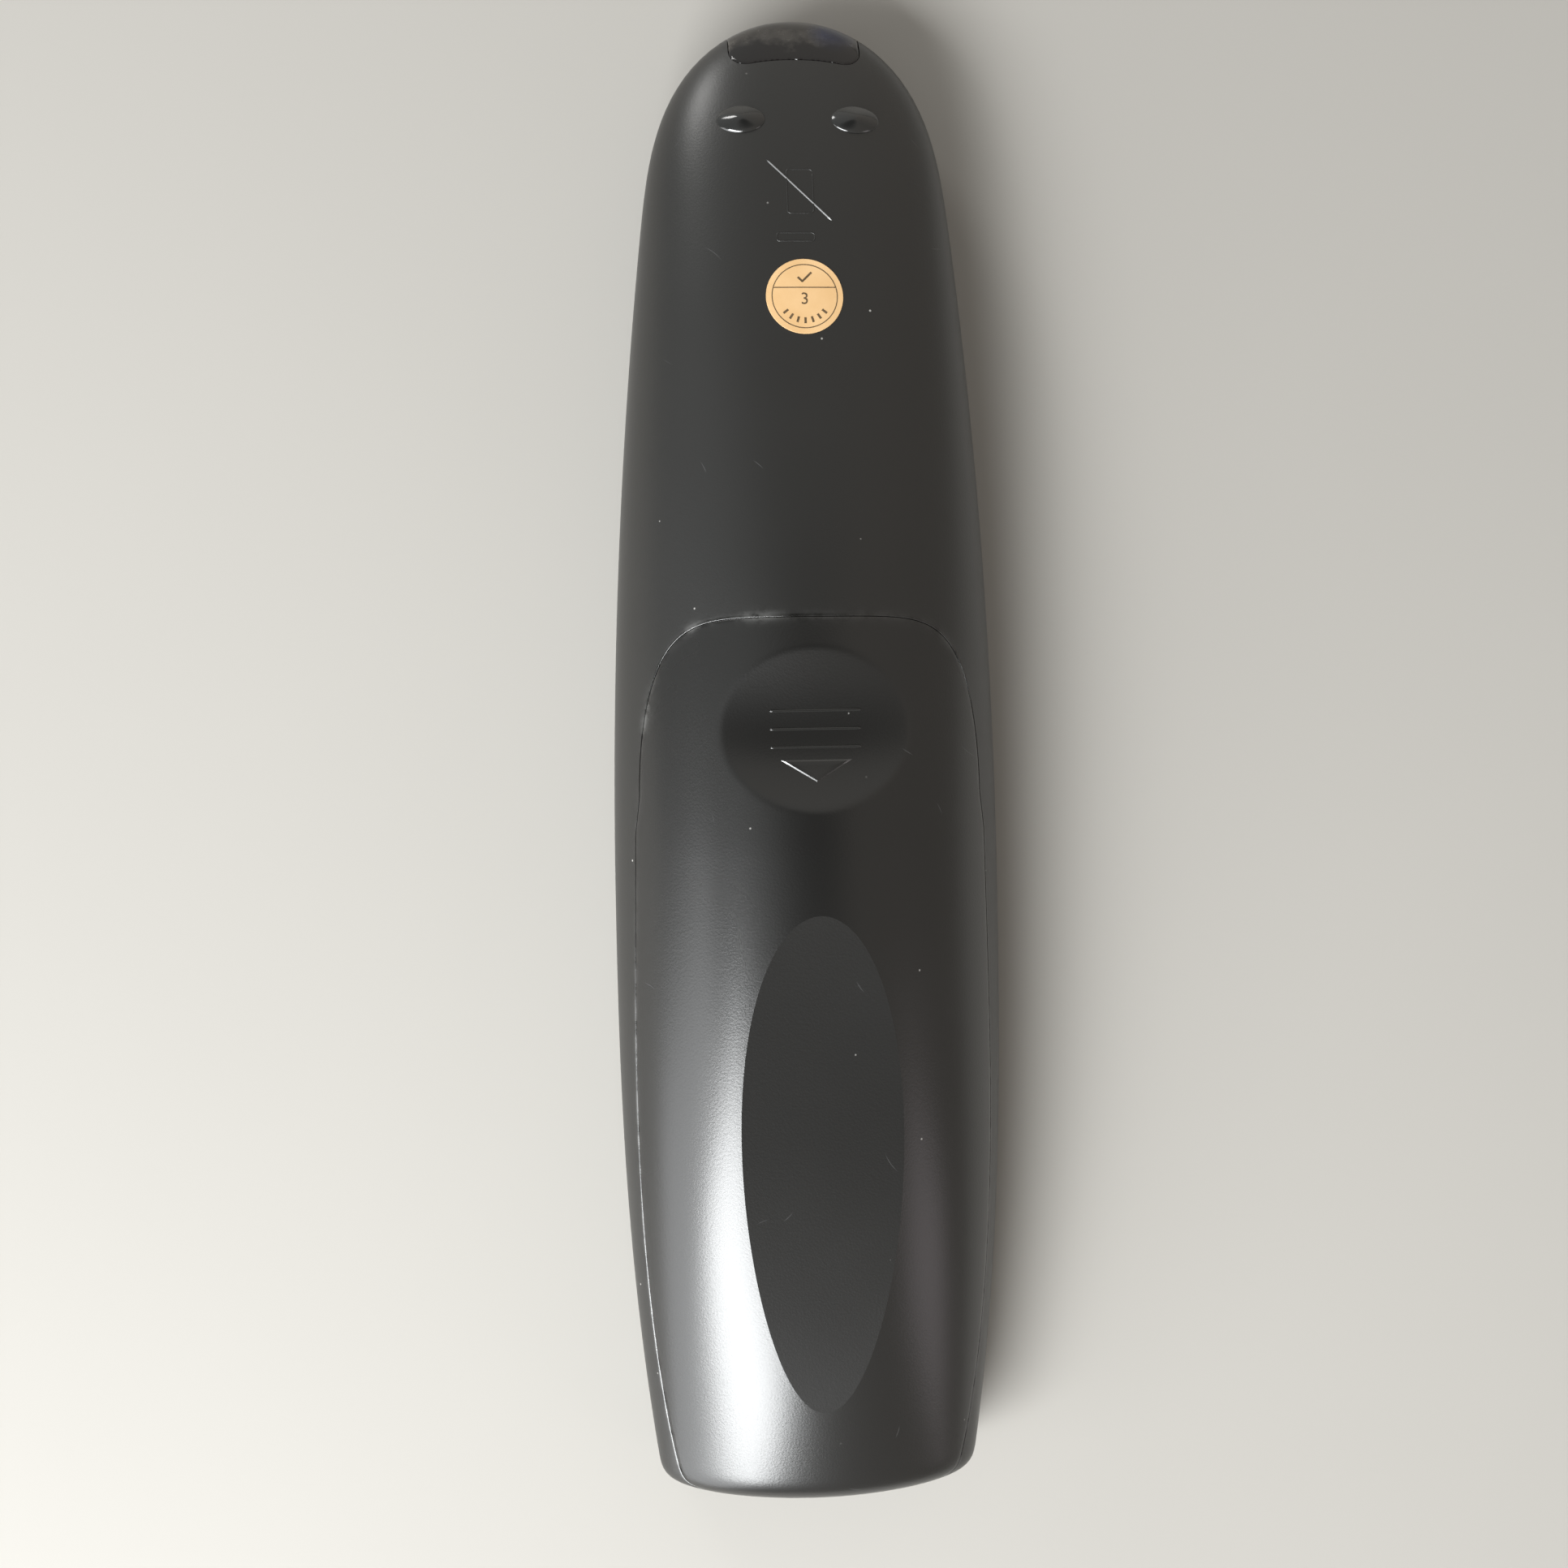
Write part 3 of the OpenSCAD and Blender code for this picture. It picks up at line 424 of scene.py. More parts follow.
# what is lost from a middle place toward the nose and toward the tail
def fallOff(y, middle, amounts, powers):
    ahead = np.clip((y - middle) / (body["halfLength"] - middle), 0, None)
    behind = np.clip((middle - y) / (body["halfLength"] + middle), 0, None)
    return amounts[0] * ahead ** powers[0], amounts[1] * behind ** powers[1]


def halfWidth(y, d=0.0):
    atNose, atTail = fallOff(y, body["widestY"], body["taper"], body["taperPower"])
    side = body["halfWidth"] - atNose - atTail
    return ((side - d) * noseCap(y, d, body["noseReach"], body["noseRound"])
            * tailCap(y, d, body["tailReach"], body["tailRound"]))


def crestLine(y):
    atNose, atTail = fallOff(y, body["crestY"], body["drop"], body["dropPower"])
    return body["crestZ"] - atNose - atTail


def riseAt(y, d=0.0):
    return ((crestLine(y) - body["jointZ"] - d)
            * noseCap(y, d, body["crestNoseReach"], body["crestNoseRound"])
            * tailCap(y, d, body["crestTailReach"], body["crestTailRound"]))


def crownAt(y):
    (low, more), (start, reach) = body["crown"], body["crownY"]
    t = np.clip((y - start) / reach, 0, 1)
    return low + more * t * t * (3 - 2 * t)


def flankAt(y):
    high, less = body["flank"]
    return high - less * np.exp(-((y - body["widestY"]) / body["flankReach"]) ** 2)


def backHeight(x, y, d=0.0):
    w = np.maximum(halfWidth(y, d), 1e-6)
    base = np.clip(1.0 - (np.abs(x) / w) ** crownAt(y), 0.0, 1.0)
    return body["jointZ"] + riseAt(y, d) * base ** (1.0 / flankAt(y))


def heightAt(surface, x, y, *depth):
    return float(surface(np.array(x), np.array(y), *depth))


# the cover: its seam, dish and facet
cover = {
    "topY": 15.7, "seamZ": 15.6, "slope": math.radians(1.5), "half": 20.2, "corner": 20.5,
    "cornerPower": 3, "frontShare": 0.93, "wide": 25.4, "flareY": -62.0, "turnY": -80.0,
    "wall": 1.4, "gap": 0.055, "edge": 0.08, "lip": (0.07, 0.30), "lipY": (-38.0, -18.0),
    "lines": 260, "rings": 56, "innerRings": 20, "spine": (-71.0, -4.0),
    "dishY": 2.7, "dishHalf": (11.0, 9.3), "dishDepth": 2.05, "dishBlend": 0.0012, "dishSkew": 0.32,
    "dishRange": (0.4, 1.6),
    "facetY": (-18.6, -76.9), "facetHalf": 9.39, "facetTaper": 0.25, "facetMiddle": 0.465,
    # rubbed places: x, y, size and strength
    "worn": ((-14.1, 15.2, 1.6, 0.4), (-6.3, 15.9, 1.8, 0.35), (-18.9, 4.9, 2.4, 0.4),
             (16.5, 12.0, 2.0, 0.12)),
    # reach of the wear from the seam, its base level, and the painted glint line: where it fades in
    # toward the tail and its share on the right side
    "wornReach": 0.7, "wornBase": 0.06, "glintLineY": (-34.0, -22.0), "glintLineRight": 0.2,
}


def dishAt(x, y):
    wide, tall = cover["dishHalf"]
    u = (x / wide) ** 2 + ((y - cover["dishY"]) / tall) ** 2
    inside = 0.5 * ((1 - u) + np.sqrt((1 - u) ** 2 + cover["dishBlend"]))
    deeper = 1 - cover["dishSkew"] * (y - cover["dishY"]) / tall  # toward the tail
    return cover["dishDepth"] * inside * np.clip(deeper, *cover["dishRange"])


# half-width of the facet, egg-shaped with its slim end to the tail, and the height that gives it
def facetHalf(y):
    y0, y1 = cover["facetY"]
    s = np.clip((y0 - y) / (y0 - y1), 0, 1)
    slim = 1 - cover["facetTaper"] * (s - cover["facetMiddle"])
    return cover["facetHalf"] * 2 * np.sqrt(s * (1 - s)) * slim


def facetHeight(y, step=0.05):
    y0, y1 = cover["facetY"]
    inside = np.clip(y, y1 + 10 * step, y0 - 10 * step)
    ahead, behind = (backHeight(facetHalf(inside + s), inside + s) for s in (step, -step))
    return (ahead + behind) / 2 + (ahead - behind) / (2 * step) * (y - inside)


def coverHeight(x, y, d=0.0):
    return backHeight(x, y, d) - dishAt(x, y)


def coverInside(x, y, d):
    return np.minimum(backHeight(x, y, d), facetHeight(y) - d) - dishAt(x, y)


# right half of the seam from the nose end round to the tail, for a gap and a depth in the wall
def seamHalf(grow, d, surface):
    half, slope, power = cover["half"] + grow, cover["slope"], cover["cornerPower"]
    x0 = np.linspace(0, cover["frontShare"], 60) * half
    a = np.arcsin((x0 / half) ** power)
    a = np.concatenate([a, np.linspace(a[-1], math.pi / 2, 61)[1:]])
    x = half * np.sin(a) ** (1 / power)
    v = cover["corner"] * (np.clip(np.cos(a), 0, 1) - 1) + grow
    h = np.zeros_like(x)
    for _ in range(8):
        y = cover["topY"] + v * math.cos(slope) - h * math.sin(slope)
        z = surface(x, y, d)
        h = np.maximum((z - cover["seamZ"] + grow - v * math.sin(slope)) / math.cos(slope), 0)

    def seamPlane(y):
        return cover["seamZ"] - grow + (y - cover["topY"]) * math.tan(slope)

    def levelX(y):
        q = np.clip((seamPlane(y) - body["jointZ"]) / np.maximum(riseAt(y, d), 1e-6), 0, 1)
        return halfWidth(y, d) * np.clip(1 - q ** flankAt(y), 0, 1) ** (1 / crownAt(y))

    turnY, sideStart = cover["turnY"], -cover["corner"] + grow
    ySide = np.linspace(y[-1], turnY, 160)[1:]
    along = (sideStart - (ySide - cover["topY"])) / (sideStart - cover["flareY"])
    xSide = np.minimum(half + (cover["wide"] - half) * along, levelX(ySide))
    low, high = -body["halfLength"] + d, turnY
    for _ in range(60):  # where the seam crosses the middle of the tail
        middle = 0.5 * (low + high)
        if riseAt(middle, d) > seamPlane(middle) - body["jointZ"]:
            high = middle
        else:
            low = middle
    theta = np.linspace(0, math.pi / 2, 121)[1:]
    yTail = turnY - (turnY - high) * np.sin(theta)
    xTail = levelX(yTail)
    xTail[-1] = 0.0
    parts = {"top": len(x), "side": len(xSide), "theta": theta}
    return np.concatenate([x, xSide, xTail]), np.concatenate([y, ySide, yTail]), parts


def arcOf(*axes):
    steps = np.sqrt(sum(np.diff(a) ** 2 for a in axes))
    return np.concatenate([[0], np.cumsum(steps)])


xRef, yRef, _ = seamHalf(0.0, 0.0, coverHeight)
seamArc = arcOf(xRef, yRef, coverHeight(xRef, yRef))
seamIndex = np.interp(np.linspace(0, seamArc[-1], cover["lines"]), seamArc, np.arange(len(xRef)))


# the right half of a loop and its mirror image
def mirrored(x, y):
    return np.concatenate([x, -x[-2:0:-1]]), np.concatenate([y, y[-2:0:-1]])


# a whole loop from samples that follow the seam's own order
def wholeLoop(x, y):
    order = np.arange(len(x))
    xs, ys = np.interp(seamIndex, order, x), np.interp(seamIndex, order, y)
    xs[0] = xs[-1] = 0.0
    return mirrored(xs, ys)


def filletDrop(distance, r):
    return np.where(distance < r, r - np.sqrt(np.maximum(r * r - (r - distance) ** 2, 0)), 0.0)


# points along straight plan lines from one loop to another, evenly spaced on the surface
def fanRings(start, stop, surface, count, d, edge=None, samples=320, crowd=2.6):
    w = np.linspace(0, 1, samples)
    t = np.where(w < 0.5, 0.5 * (2 * w) ** crowd, 1 - 0.5 * (2 - 2 * w) ** crowd)
    rounding = np.broadcast_to(0.0 if edge is None else edge, len(start[0]))
    steps = np.array([0.0]) if edge is None else np.array([0, 0.12, 0.34, 0.64, 1.0])
    rows = []
    for x0, y0, x1, y1, r in zip(*start, *stop, rounding):
        x, y = x0 + (x1 - x0) * t, y0 + (y1 - y0) * t
        arc = arcOf(x, y, surface(x, y, d))
        at = np.concatenate([steps * r, np.linspace(steps[-1] * r, arc[-1], count)[1:]])
        rows.append((np.interp(at, arc, x), np.interp(at, arc, y), at))
    px, py, fromStart = (np.array(a).T for a in zip(*rows))
    pz = surface(px, py, d)
    if edge is not None:  # the first points drop into a fillet, square to the surface
        step = 0.01
        gx = (surface(px + step, py, d) - surface(px - step, py, d)) / (2 * step)
        gy = (surface(px, py + step, d) - surface(px, py - step, d)) / (2 * step)
        size = np.sqrt(gx ** 2 + gy ** 2 + 1)
        drop = filletDrop(fromStart, rounding)
        px, py, pz = px + gx / size * drop, py + gy / size * drop, pz - drop / size
    return [np.stack([px[i], py[i], pz[i]], axis=1) for i in range(len(px))]


def ringFaces(first, second, count):
    return [(first + i, first + (i + 1) % count, second + (i + 1) % count, second + i)
            for i in range(count)]


def flatRing(x, y, z):
    return np.stack([x, y, np.full(len(x), z)], axis=1)


def meshFromRings(rings, closed=False):
    count = len(rings[0])
    faces = []
    for k in range(len(rings) - 1 + (1 if closed else 0)):
        faces += ringFaces(k * count, ((k + 1) % len(rings)) * count, count)
    return np.concatenate(rings), faces


# a mesh object from millimetre points, with its faces turned outwards
def makeObject(name, points, faces, merge=1e-4):
    mesh = bpy.data.meshes.new(name)
    mesh.from_pydata((np.asarray(points) * mm).tolist(), [], faces)
    work = bmesh.new()
    work.from_mesh(mesh)
    bmesh.ops.remove_doubles(work, verts=work.verts, dist=merge * mm)
    bmesh.ops.dissolve_degenerate(work, edges=work.edges, dist=1e-9)
    bmesh.ops.recalc_face_normals(work, faces=work.faces)
    work.to_mesh(mesh)
    work.free()
    return addObject(name, mesh)


def fromObject(obj):
    return bpy.data.meshes.new_from_object(obj.evaluated_get(bpy.context.evaluated_depsgraph_get()))


def bake(obj):
    made, old = fromObject(obj), obj.data
    obj.modifiers.clear()
    obj.data = made
    bpy.data.meshes.remove(old)
    made.name = obj.name
    return obj


def cutWith(obj, tool, operation="DIFFERENCE"):
    modifier = obj.modifiers.new("cut", "BOOLEAN")
    modifier.operation, modifier.solver, modifier.object = operation, "MANIFOLD", tool
    bake(obj)
    bpy.data.objects.remove(tool)
    return obj


def joinInto(obj, others):
    work = bmesh.new()
    work.from_mesh(obj.data)
    for other in others:
        shift = len(obj.data.materials)
        for material in other.data.materials:
            obj.data.materials.append(material)
        start = len(work.faces)
        work.from_mesh(other.data)
        work.faces.ensure_lookup_table()
        for face in work.faces[start:]:
            face.material_index += shift
        bpy.data.objects.remove(other)
    work.to_mesh(obj.data)
    work.free()
    return obj


def shadeSmooth(obj, angle=35.0):
    obj.data.polygons.foreach_set("use_smooth", [True] * len(obj.data.polygons))
    obj.data.set_sharp_from_angle(angle=math.radians(angle))


def paint(obj, *materials):
    obj.data.materials.clear()
    for material in materials:
        obj.data.materials.append(material)
    return obj


def settle(obj, bodyName, node, slot):
    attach(obj, bodyName)
    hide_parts(node)


# nearness to the seam, the worn places along it and a painted glint line along the lower left seam,
# kept on the points for the rubbed-edge effect and the painted glint
def markRubAndGlint(obj, seam, line=0.0):
    tree = KDTree(len(seam))
    for i, point in enumerate(seam):
        tree.insert(Vector(point * mm), i)
    tree.balance()
    reach = cover["wornReach"] * mm
    near = np.array([math.exp(-tree.find(v.co)[2] / reach) for v in obj.data.vertices])
    x, y, _ = np.array([v.co / mm for v in obj.data.vertices]).T
    worn = sum(level * np.exp(-((x - px) ** 2 + (y - py) ** 2) / size ** 2)
               for px, py, size, level in cover["worn"])
    # line paints a glint: a thin light line close to the seam, fading in toward the tail and mostly
    # on the left side
    line = line * np.interp(y, cover["glintLineY"], (1.0, 0.0)) * np.where(x < 0, 1.0, cover["glintLineRight"])
    worn = near ** 2 * (cover["wornBase"] + worn) + near ** 5 * line
    for name, values in (("nearSeam", near), ("worn", worn)):
        layer = obj.data.attributes.new(name, "FLOAT", "POINT")
        layer.data.foreach_set("value", values)


def boxAt(name, low, high, bevel=0.15):
    work = bmesh.new()
    bmesh.ops.create_cube(work, size=1)
    for v in work.verts:
        v.co = Vector([(l if c < 0 else h) * mm for c, l, h in zip(v.co, low, high)])
    bmesh.ops.bevel(work, geom=work.edges[:], offset=bevel * mm, segments=2, affect="EDGES",
                    profile=0.5)
    mesh = bpy.data.meshes.new(name)
    work.to_mesh(mesh)
    work.free()
    return addObject(name, mesh)


# closed prisms from plan outlines
def prisms(name, outlines, low, high, merge=1e-5):
    points, faces = [], []
    for outline in outlines:
        n, start = len(outline), len(points)
        points += [(x, y, z) for z in (low, high) for x, y in outline]
        faces += [tuple(start + i for i in range(n - 1, -1, -1)),
                  tuple(start + n + i for i in range(n)), *ringFaces(start, start + n, n)]
    return makeObject(name, points, faces, merge)


def prism(name, outline, low, high):
    return prisms(name, [outline], low, high, merge=1e-4)


def raiseBy(obj, share):
    points = np.array([v.co for v in obj.data.vertices])
    points[:, 2] += share * facetHeight(points[:, 1] / mm) * mm
    obj.data.vertices.foreach_set("co", points.ravel())
    obj.data.update()


# battery cover
def makeCover():
    loop = wholeLoop(xRef, yRef)
    xIn, yIn, _ = seamHalf(0.0, cover["wall"], coverInside)
    loopIn = wholeLoop(xIn, yIn)
    spine, spineIn = ((np.zeros_like(x), np.clip(y, *cover["spine"])) for x, y in (loop, loopIn))
    outer = fanRings(loop, spine, coverHeight, cover["rings"], 0.0, cover["edge"])
    inner = fanRings(loopIn, spineIn, coverInside, cover["innerRings"], cover["wall"])
    obj = makeObject("battery_cover_skin", *meshFromRings(outer[::-1] + inner))
    raiseBy(obj, -1)  # the facet lies flat for the cut, and rises again after it
    work = bmesh.new()
    work.from_mesh(obj.data)
    everything = work.verts[:] + work.edges[:] + work.faces[:]
    cut = bmesh.ops.bisect_plane(work, geom=everything, dist=1e-7, plane_co=(0, 0, 0),
                                 plane_no=(0, 0, 1), clear_outer=True)["geom_cut"]
    for item in cut:
        if isinstance(item, bmesh.types.BMEdge):
            item.seam = True
    middle = sum(cover["facetY"]) / 2 * mm
    ring = sorted((v for v in cut if isinstance(v, bmesh.types.BMVert)),
                  key=lambda v: math.atan2(v.co.y - middle, v.co.x))
    step = 0.25
    for share in (0.75, 0.5, 0.25, 0.0):  # the facet is filled in from its rim to its middle line
        inner = [work.verts.new((v.co.x * share / (share + step), v.co.y, 0)) for v in ring]
        for i in range(len(ring)):
            k = (i + 1) % len(ring)
            work.faces.new((ring[i], ring[k], inner[k], inner[i]))
        ring = inner
    bmesh.ops.remove_doubles(work, verts=ring, dist=2e-6)
    work.to_mesh(obj.data)
    work.free()
    raiseBy(obj, 1)
    shadeSmooth(obj)
    for edge in obj.data.edges:
        if edge.use_seam:
            edge.use_edge_sharp = True
    seam = np.stack([*loop, coverHeight(*loop)], axis=1)
    markRubAndGlint(obj, seam)
    return obj, seam


coverSkin, seamPoints = makeCover()
print("cover skin:", len(coverSkin.data.polygons), "faces")

paint(coverSkin, coverBlack)
settle(coverSkin, "battery_cover", "battery_cover", "case_cover")


# geometry node trees for what repeats or follows a path
def newTree(name, inputs):
    tree = bpy.data.node_groups.new(name, "GeometryNodeTree")
    tree.interface.new_socket("Geometry", in_out="INPUT", socket_type="NodeSocketGeometry")
    for key, kind in inputs.items():
        tree.interface.new_socket(key, in_out="INPUT", socket_type="NodeSocket" + kind)
    tree.interface.new_socket("Geometry", in_out="OUTPUT", socket_type="NodeSocketGeometry")
    given = tree.nodes.new("NodeGroupInput").outputs
    return tree, given, tree.nodes.new("NodeGroupOutput").inputs


def finishTree(tree, shape, material, result):
    real = addNode(tree, "GeometryNodeRealizeInstances", {"Geometry": shape})
    smooth = addNode(tree, "GeometryNodeSetShadeSmooth", {"Geometry": real.outputs[0]})
    done = addNode(tree, "GeometryNodeSetMaterial",
                   {"Geometry": smooth.outputs[0], "Material": material})
    feed(tree, result["Geometry"], done.outputs[0])
    return tree


# round bar along the piece's own edges, with ends that close to a dome
def makeSweepTree():
    tree, given, result = newTree("sweepPath", {"Radius": "Float", "Height": "Float", "Sides": "Int",
                                                "Taper": "Float", "Material": "Material"})
    curve = addNode(tree, "GeometryNodeMeshToCurve", {"Mesh": given["Geometry"]})
    upright = addNode(tree, "GeometryNodeSetCurveNormal", {"Curve": curve.outputs[0]}, mode="Z_UP")
    place = addNode(tree, "GeometryNodeSplineParameter").outputs["Factor"]
    fromMiddle = maths(tree, "ABSOLUTE", timesAdd(tree, place, 2.0, -1.0))
    end = maths(tree, "POWER", fromMiddle, given["Taper"])
    scale = maths(tree, "SQRT", maths(tree, "SUBTRACT", 1.0002, end))
    ring = addNode(tree, "GeometryNodeCurvePrimitiveCircle",
                   {"Resolution": given["Sides"], "Radius": given["Radius"]})
    flat = addNode(tree, "ShaderNodeCombineXYZ", {"X": 1.0, "Y": given["Height"], "Z": 1.0})
    profile = addNode(tree, "GeometryNodeTransform",
                      {"Geometry": ring.outputs[0], "Scale": flat.outputs[0]})
    bar = addNode(tree, "GeometryNodeCurveToMesh",
                  {"Curve": upright.outputs[0], "Profile Curve": profile.outputs[0], "Scale": scale,
                   "Fill Caps": True})
    return finishTree(tree, bar.outputs[0], given["Material"], result)


def makeSpringTree():
    tree, given, result = newTree("coneSpring", {
        "Turns": "Float", "Wide": "Float", "Narrow": "Float", "Rise": "Float", "Wire": "Float",
        "Material": "Material"})
    spiral = addNode(tree, "GeometryNodeCurveSpiral",
                     {"Resolution": 40, "Rotations": given["Turns"], "Start Radius": given["Wide"],
                      "End Radius": given["Narrow"], "Height": given["Rise"]})
    ring = addNode(tree, "GeometryNodeCurvePrimitiveCircle",
                   {"Resolution": 14, "Radius": given["Wire"]})
    wire = addNode(tree, "GeometryNodeCurveToMesh",
                   {"Curve": spiral.outputs[0], "Profile Curve": ring.outputs[0], "Fill Caps": True})
    return finishTree(tree, wire.outputs[0], given["Material"], result)


def makeScatterTree():
    tree, given, result = newTree("placeOnPoints", {"Piece": "Object", "Material": "Material"})
    info = addNode(tree, "GeometryNodeObjectInfo", {"Object": given["Piece"]})
    copies = addNode(tree, "GeometryNodeInstanceOnPoints",
                     {"Points": given["Geometry"], "Instance": info.outputs["Geometry"]})
    return finishTree(tree, copies.outputs[0], given["Material"], result)


sweepTree, springTree, scatterTree = makeSweepTree(), makeSpringTree(), makeScatterTree()


# an object made by a tree from millimetre points and edges
def runTree(name, tree, points, edges, **values):
    mesh = bpy.data.meshes.new(name)
    mesh.from_pydata([Vector(p) * mm for p in points], edges, [])
    obj = addObject(name, mesh)
    modifier = obj.modifiers.new("nodes", "NODES")
    modifier.node_group = tree
    for item in tree.interface.items_tree:
        if item.in_out == "INPUT" and item.name in values:
            modifier[item.identifier] = values[item.name]
    return bake(obj)


# bars swept along paths given in millimetres; four sides make a ridge with flat flanks
def sweepPaths(name, paths, radius, material, taper=40.0, sides=12, height=1.0):
    points, edges = [], []
    for path in paths:
        edges += [(len(points) + i, len(points) + i + 1) for i in range(len(path) - 1)]
        points += path
    obj = runTree(name, sweepTree, points, edges, Radius=radius * mm, Height=height, Sides=sides,
                  Taper=taper, Material=material)
    shadeSmooth(obj, 40)
    return obj


def pathOn(surface, corners, lift, step=0.3):
    path = []
    for (x0, y0), (x1, y1) in zip(corners[:-1], corners[1:]):
        count = max(2, int(math.hypot(x1 - x0, y1 - y0) / step))
        path += [(x0 + (x1 - x0) * i / count, y0 + (y1 - y0) * i / count) for i in range(count)]
    path.append(corners[-1])
    return [(x, y, heightAt(surface, x, y) + lift) for x, y in path]


# infrared window in the nose
window = {"half": 7.9, "backY": 82.8, "bow": 1.0, "corner": 2.5, "low": 3.5, "gap": 0.05, "edge": 0.2,
          "spread": 52.0, "rootY": 76.0, "rootShare": 0.75, "skirt": 0.5, "rings": (60, 20)}
farAbove = 40.0  # clear of everything, for cutting tools


def windowEdge(grow):
    half, r = window["half"] + grow, window["corner"] + grow
    flat = np.linspace(0, half - r, 20)
    bend = np.linspace(0, math.pi / 2, 16)[1:]
    x = np.concatenate([flat, half - r + r * np.sin(bend)])
    y = window["backY"] - grow - window["bow"] * (x / half) ** 2
    y[len(flat):] += r * (1 - np.cos(bend))
    return np.concatenate([-x[:0:-1], x]), np.concatenate([y[:0:-1], y])


def windowSpace(name, grow):
    x, y = windowEdge(grow)
    beyond = body["halfLength"] + 5
    outline = [*zip(x, y), (x[-1], beyond), (x[0], beyond)]
    return prism(name, outline, window["low"] - grow, farAbove)


# plan of the nose, by a turn from straight ahead
def noseY(d, turn):
    return body["halfLength"] - body["noseReach"] + (body["noseReach"] - d) * np.cos(turn)


def makeWindow():
    turn = np.radians(np.linspace(-window["spread"], window["spread"], 161))
    topRings, wallRings = window["rings"]
    sheets, walls = [], []
    for d in (0.0, body["wall"]):
        y = noseY(d, turn)
        x = np.sign(turn) * halfWidth(y, d)
        start = (window["rootShare"] * x, np.full_like(y, window["rootY"]))
        sheet = fanRings(start, (x, y), backHeight, topRings, d)
        sheets.append(sheet)
        walls.append([flatRing(sheet[-1][:, 0], sheet[-1][:, 1], z) for z in
                      np.linspace(body["jointZ"], window["low"] - window["skirt"], wallRings)[1:]])
    rings = sheets[0] + walls[0] + walls[1][::-1] + sheets[1][::-1]
    count, total = len(turn), len(rings)
    faces = []
    for k in range(total):
        a, b = k * count, (k + 1) % total * count
        faces += [(a + i, a + i + 1, b + i + 1, b + i) for i in range(count - 1)]
    faces += [tuple(k * count + end for k in range(total)) for end in (0, count - 1)]
    obj = makeObject("ir_window_cap", np.concatenate(rings), faces)
    cutWith(obj, windowSpace("window_space", 0.0), "INTERSECT")
    edgeX, edgeY = windowEdge(0.0)
    for v in obj.data.vertices:  # rounded edge where the cap meets the shell
        x, y, z = v.co / mm
        if z < body["jointZ"] or z < heightAt(backHeight, x, y) - 0.01:
            continue
        gap = min(float(np.hypot(edgeX - x, edgeY - y).min()), window["half"] - abs(x))
        v.co.z -= float(filletDrop(np.array(max(gap, 0.0)), window["edge"])) * mm
    shadeSmooth(obj, 40)
    return obj


# smoked plastic with a painted reflection: lighter and duller on its top along the tip, and a bluish
# painted reflection spot
smoke = {"haze": 900.0, "cloud": 330.0, "wave": 0.005, "sheenY": (0.0872, 0.0885),
         "sheenZ": (0.0085, 0.0115), "spot": (0.0047, 0.0865, 0.011), "sheenSpotSize": (0.0012, 0.0034),
         "tintsAndSheen": ((0.010, 0.0085, 0.0085), (0.009, 0.010, 0.024)),
         "sheenColours": ((0.085, 0.077, 0.068), (0.032, 0.037, 0.075)), "gloss": (0.05, 0.12),
         "sheenRough": 0.25}


def smokedWindow():
    material, tree = newMaterial("smokedWindow")
    coords = objectCoords(tree)
    haze = noise(tree, coords, smoke["haze"], 4.0, 0.65)
    cloud = noise(tree, coords, smoke["cloud"], 4.0, 0.6)
    place = splitAxes(tree, coords)
    wavy = timesAdd(tree, cloud, smoke["wave"], place["Y"])
    # painted reflection: the colour is lighter toward the top of the tip, broken by the cloud, and
    # bluish round one spot
    paintedSheen = times(tree, stretch(tree, wavy, *smoke["sheenY"]),
                   stretch(tree, cloud, 0.35, 0.65, 0.25, 1.0),
                   stretch(tree, place["Z"], *smoke["sheenZ"]))
    aside = addNode(tree, "ShaderNodeVectorMath", {0: coords, 1: smoke["spot"]}, operation="DISTANCE")
    bluishSheen = stretch(tree, aside.outputs["Value"], *smoke["sheenSpotSize"], 1.0, 0.0)
    tintAndSheen, sheenColour = (mixColour(tree, bluishSheen, *smoke[key]) for key in ("tintsAndSheen", "sheenColours"))
    gloss = stretch(tree, haze, 0.3, 0.75, *smoke["gloss"])
    fillShader(tree, {
        "Base Color": mixColour(tree, paintedSheen, tintAndSheen, sheenColour),
        "Roughness": timesAdd(tree, paintedSheen, smoke["sheenRough"], gloss),
        "IOR": 1.56, "Transmission Weight": 0.12, "Normal": bumpOf(tree, haze, 0.08, 0.00005)})
    return material


windowCap = makeWindow()
paint(windowCap, smokedWindow())
settle(windowCap, "case", "ir_window", "window_smoke")
print("window:", len(windowCap.data.polygons), "faces")


# rear shell between the seam and the joint of the case halves
# line is the strength of the painted glint line along the shell's lower left seam edge
shell = {"rings": 84, "innerRings": 22, "groove": 0.12, "line": 1.4}


# plan outline at a depth d, in the same order of samples as the seam
def outlineFor(d, y, parts):
    nTop, nSide = parts["top"], parts["side"]
    nose = noseY(d, np.linspace(0, math.pi / 2, 200))
    bend = body["halfLength"] - body["noseReach"]
    oy = np.concatenate([nose, np.linspace(bend, y[nTop - 1], 200)[1:]])
    ox = halfWidth(oy, d)
    ox[0] = 0.0
    arc = arcOf(ox, oy)
    share = arcOf(xRef[:nTop], yRef[:nTop])
    at = share / share[-1] * arc[-1]
    ySide = y[nTop:nTop + nSide]
    yTail = ySide[-1] - (body["halfLength"] - d + ySide[-1]) * np.sin(parts["theta"])
    xTail = halfWidth(yTail, d)
    xTail[-1] = 0.0
    return wholeLoop(np.concatenate([np.interp(at, arc, ox), halfWidth(ySide, d), xTail]),
                     np.concatenate([np.interp(at, arc, oy), ySide, yTail]))


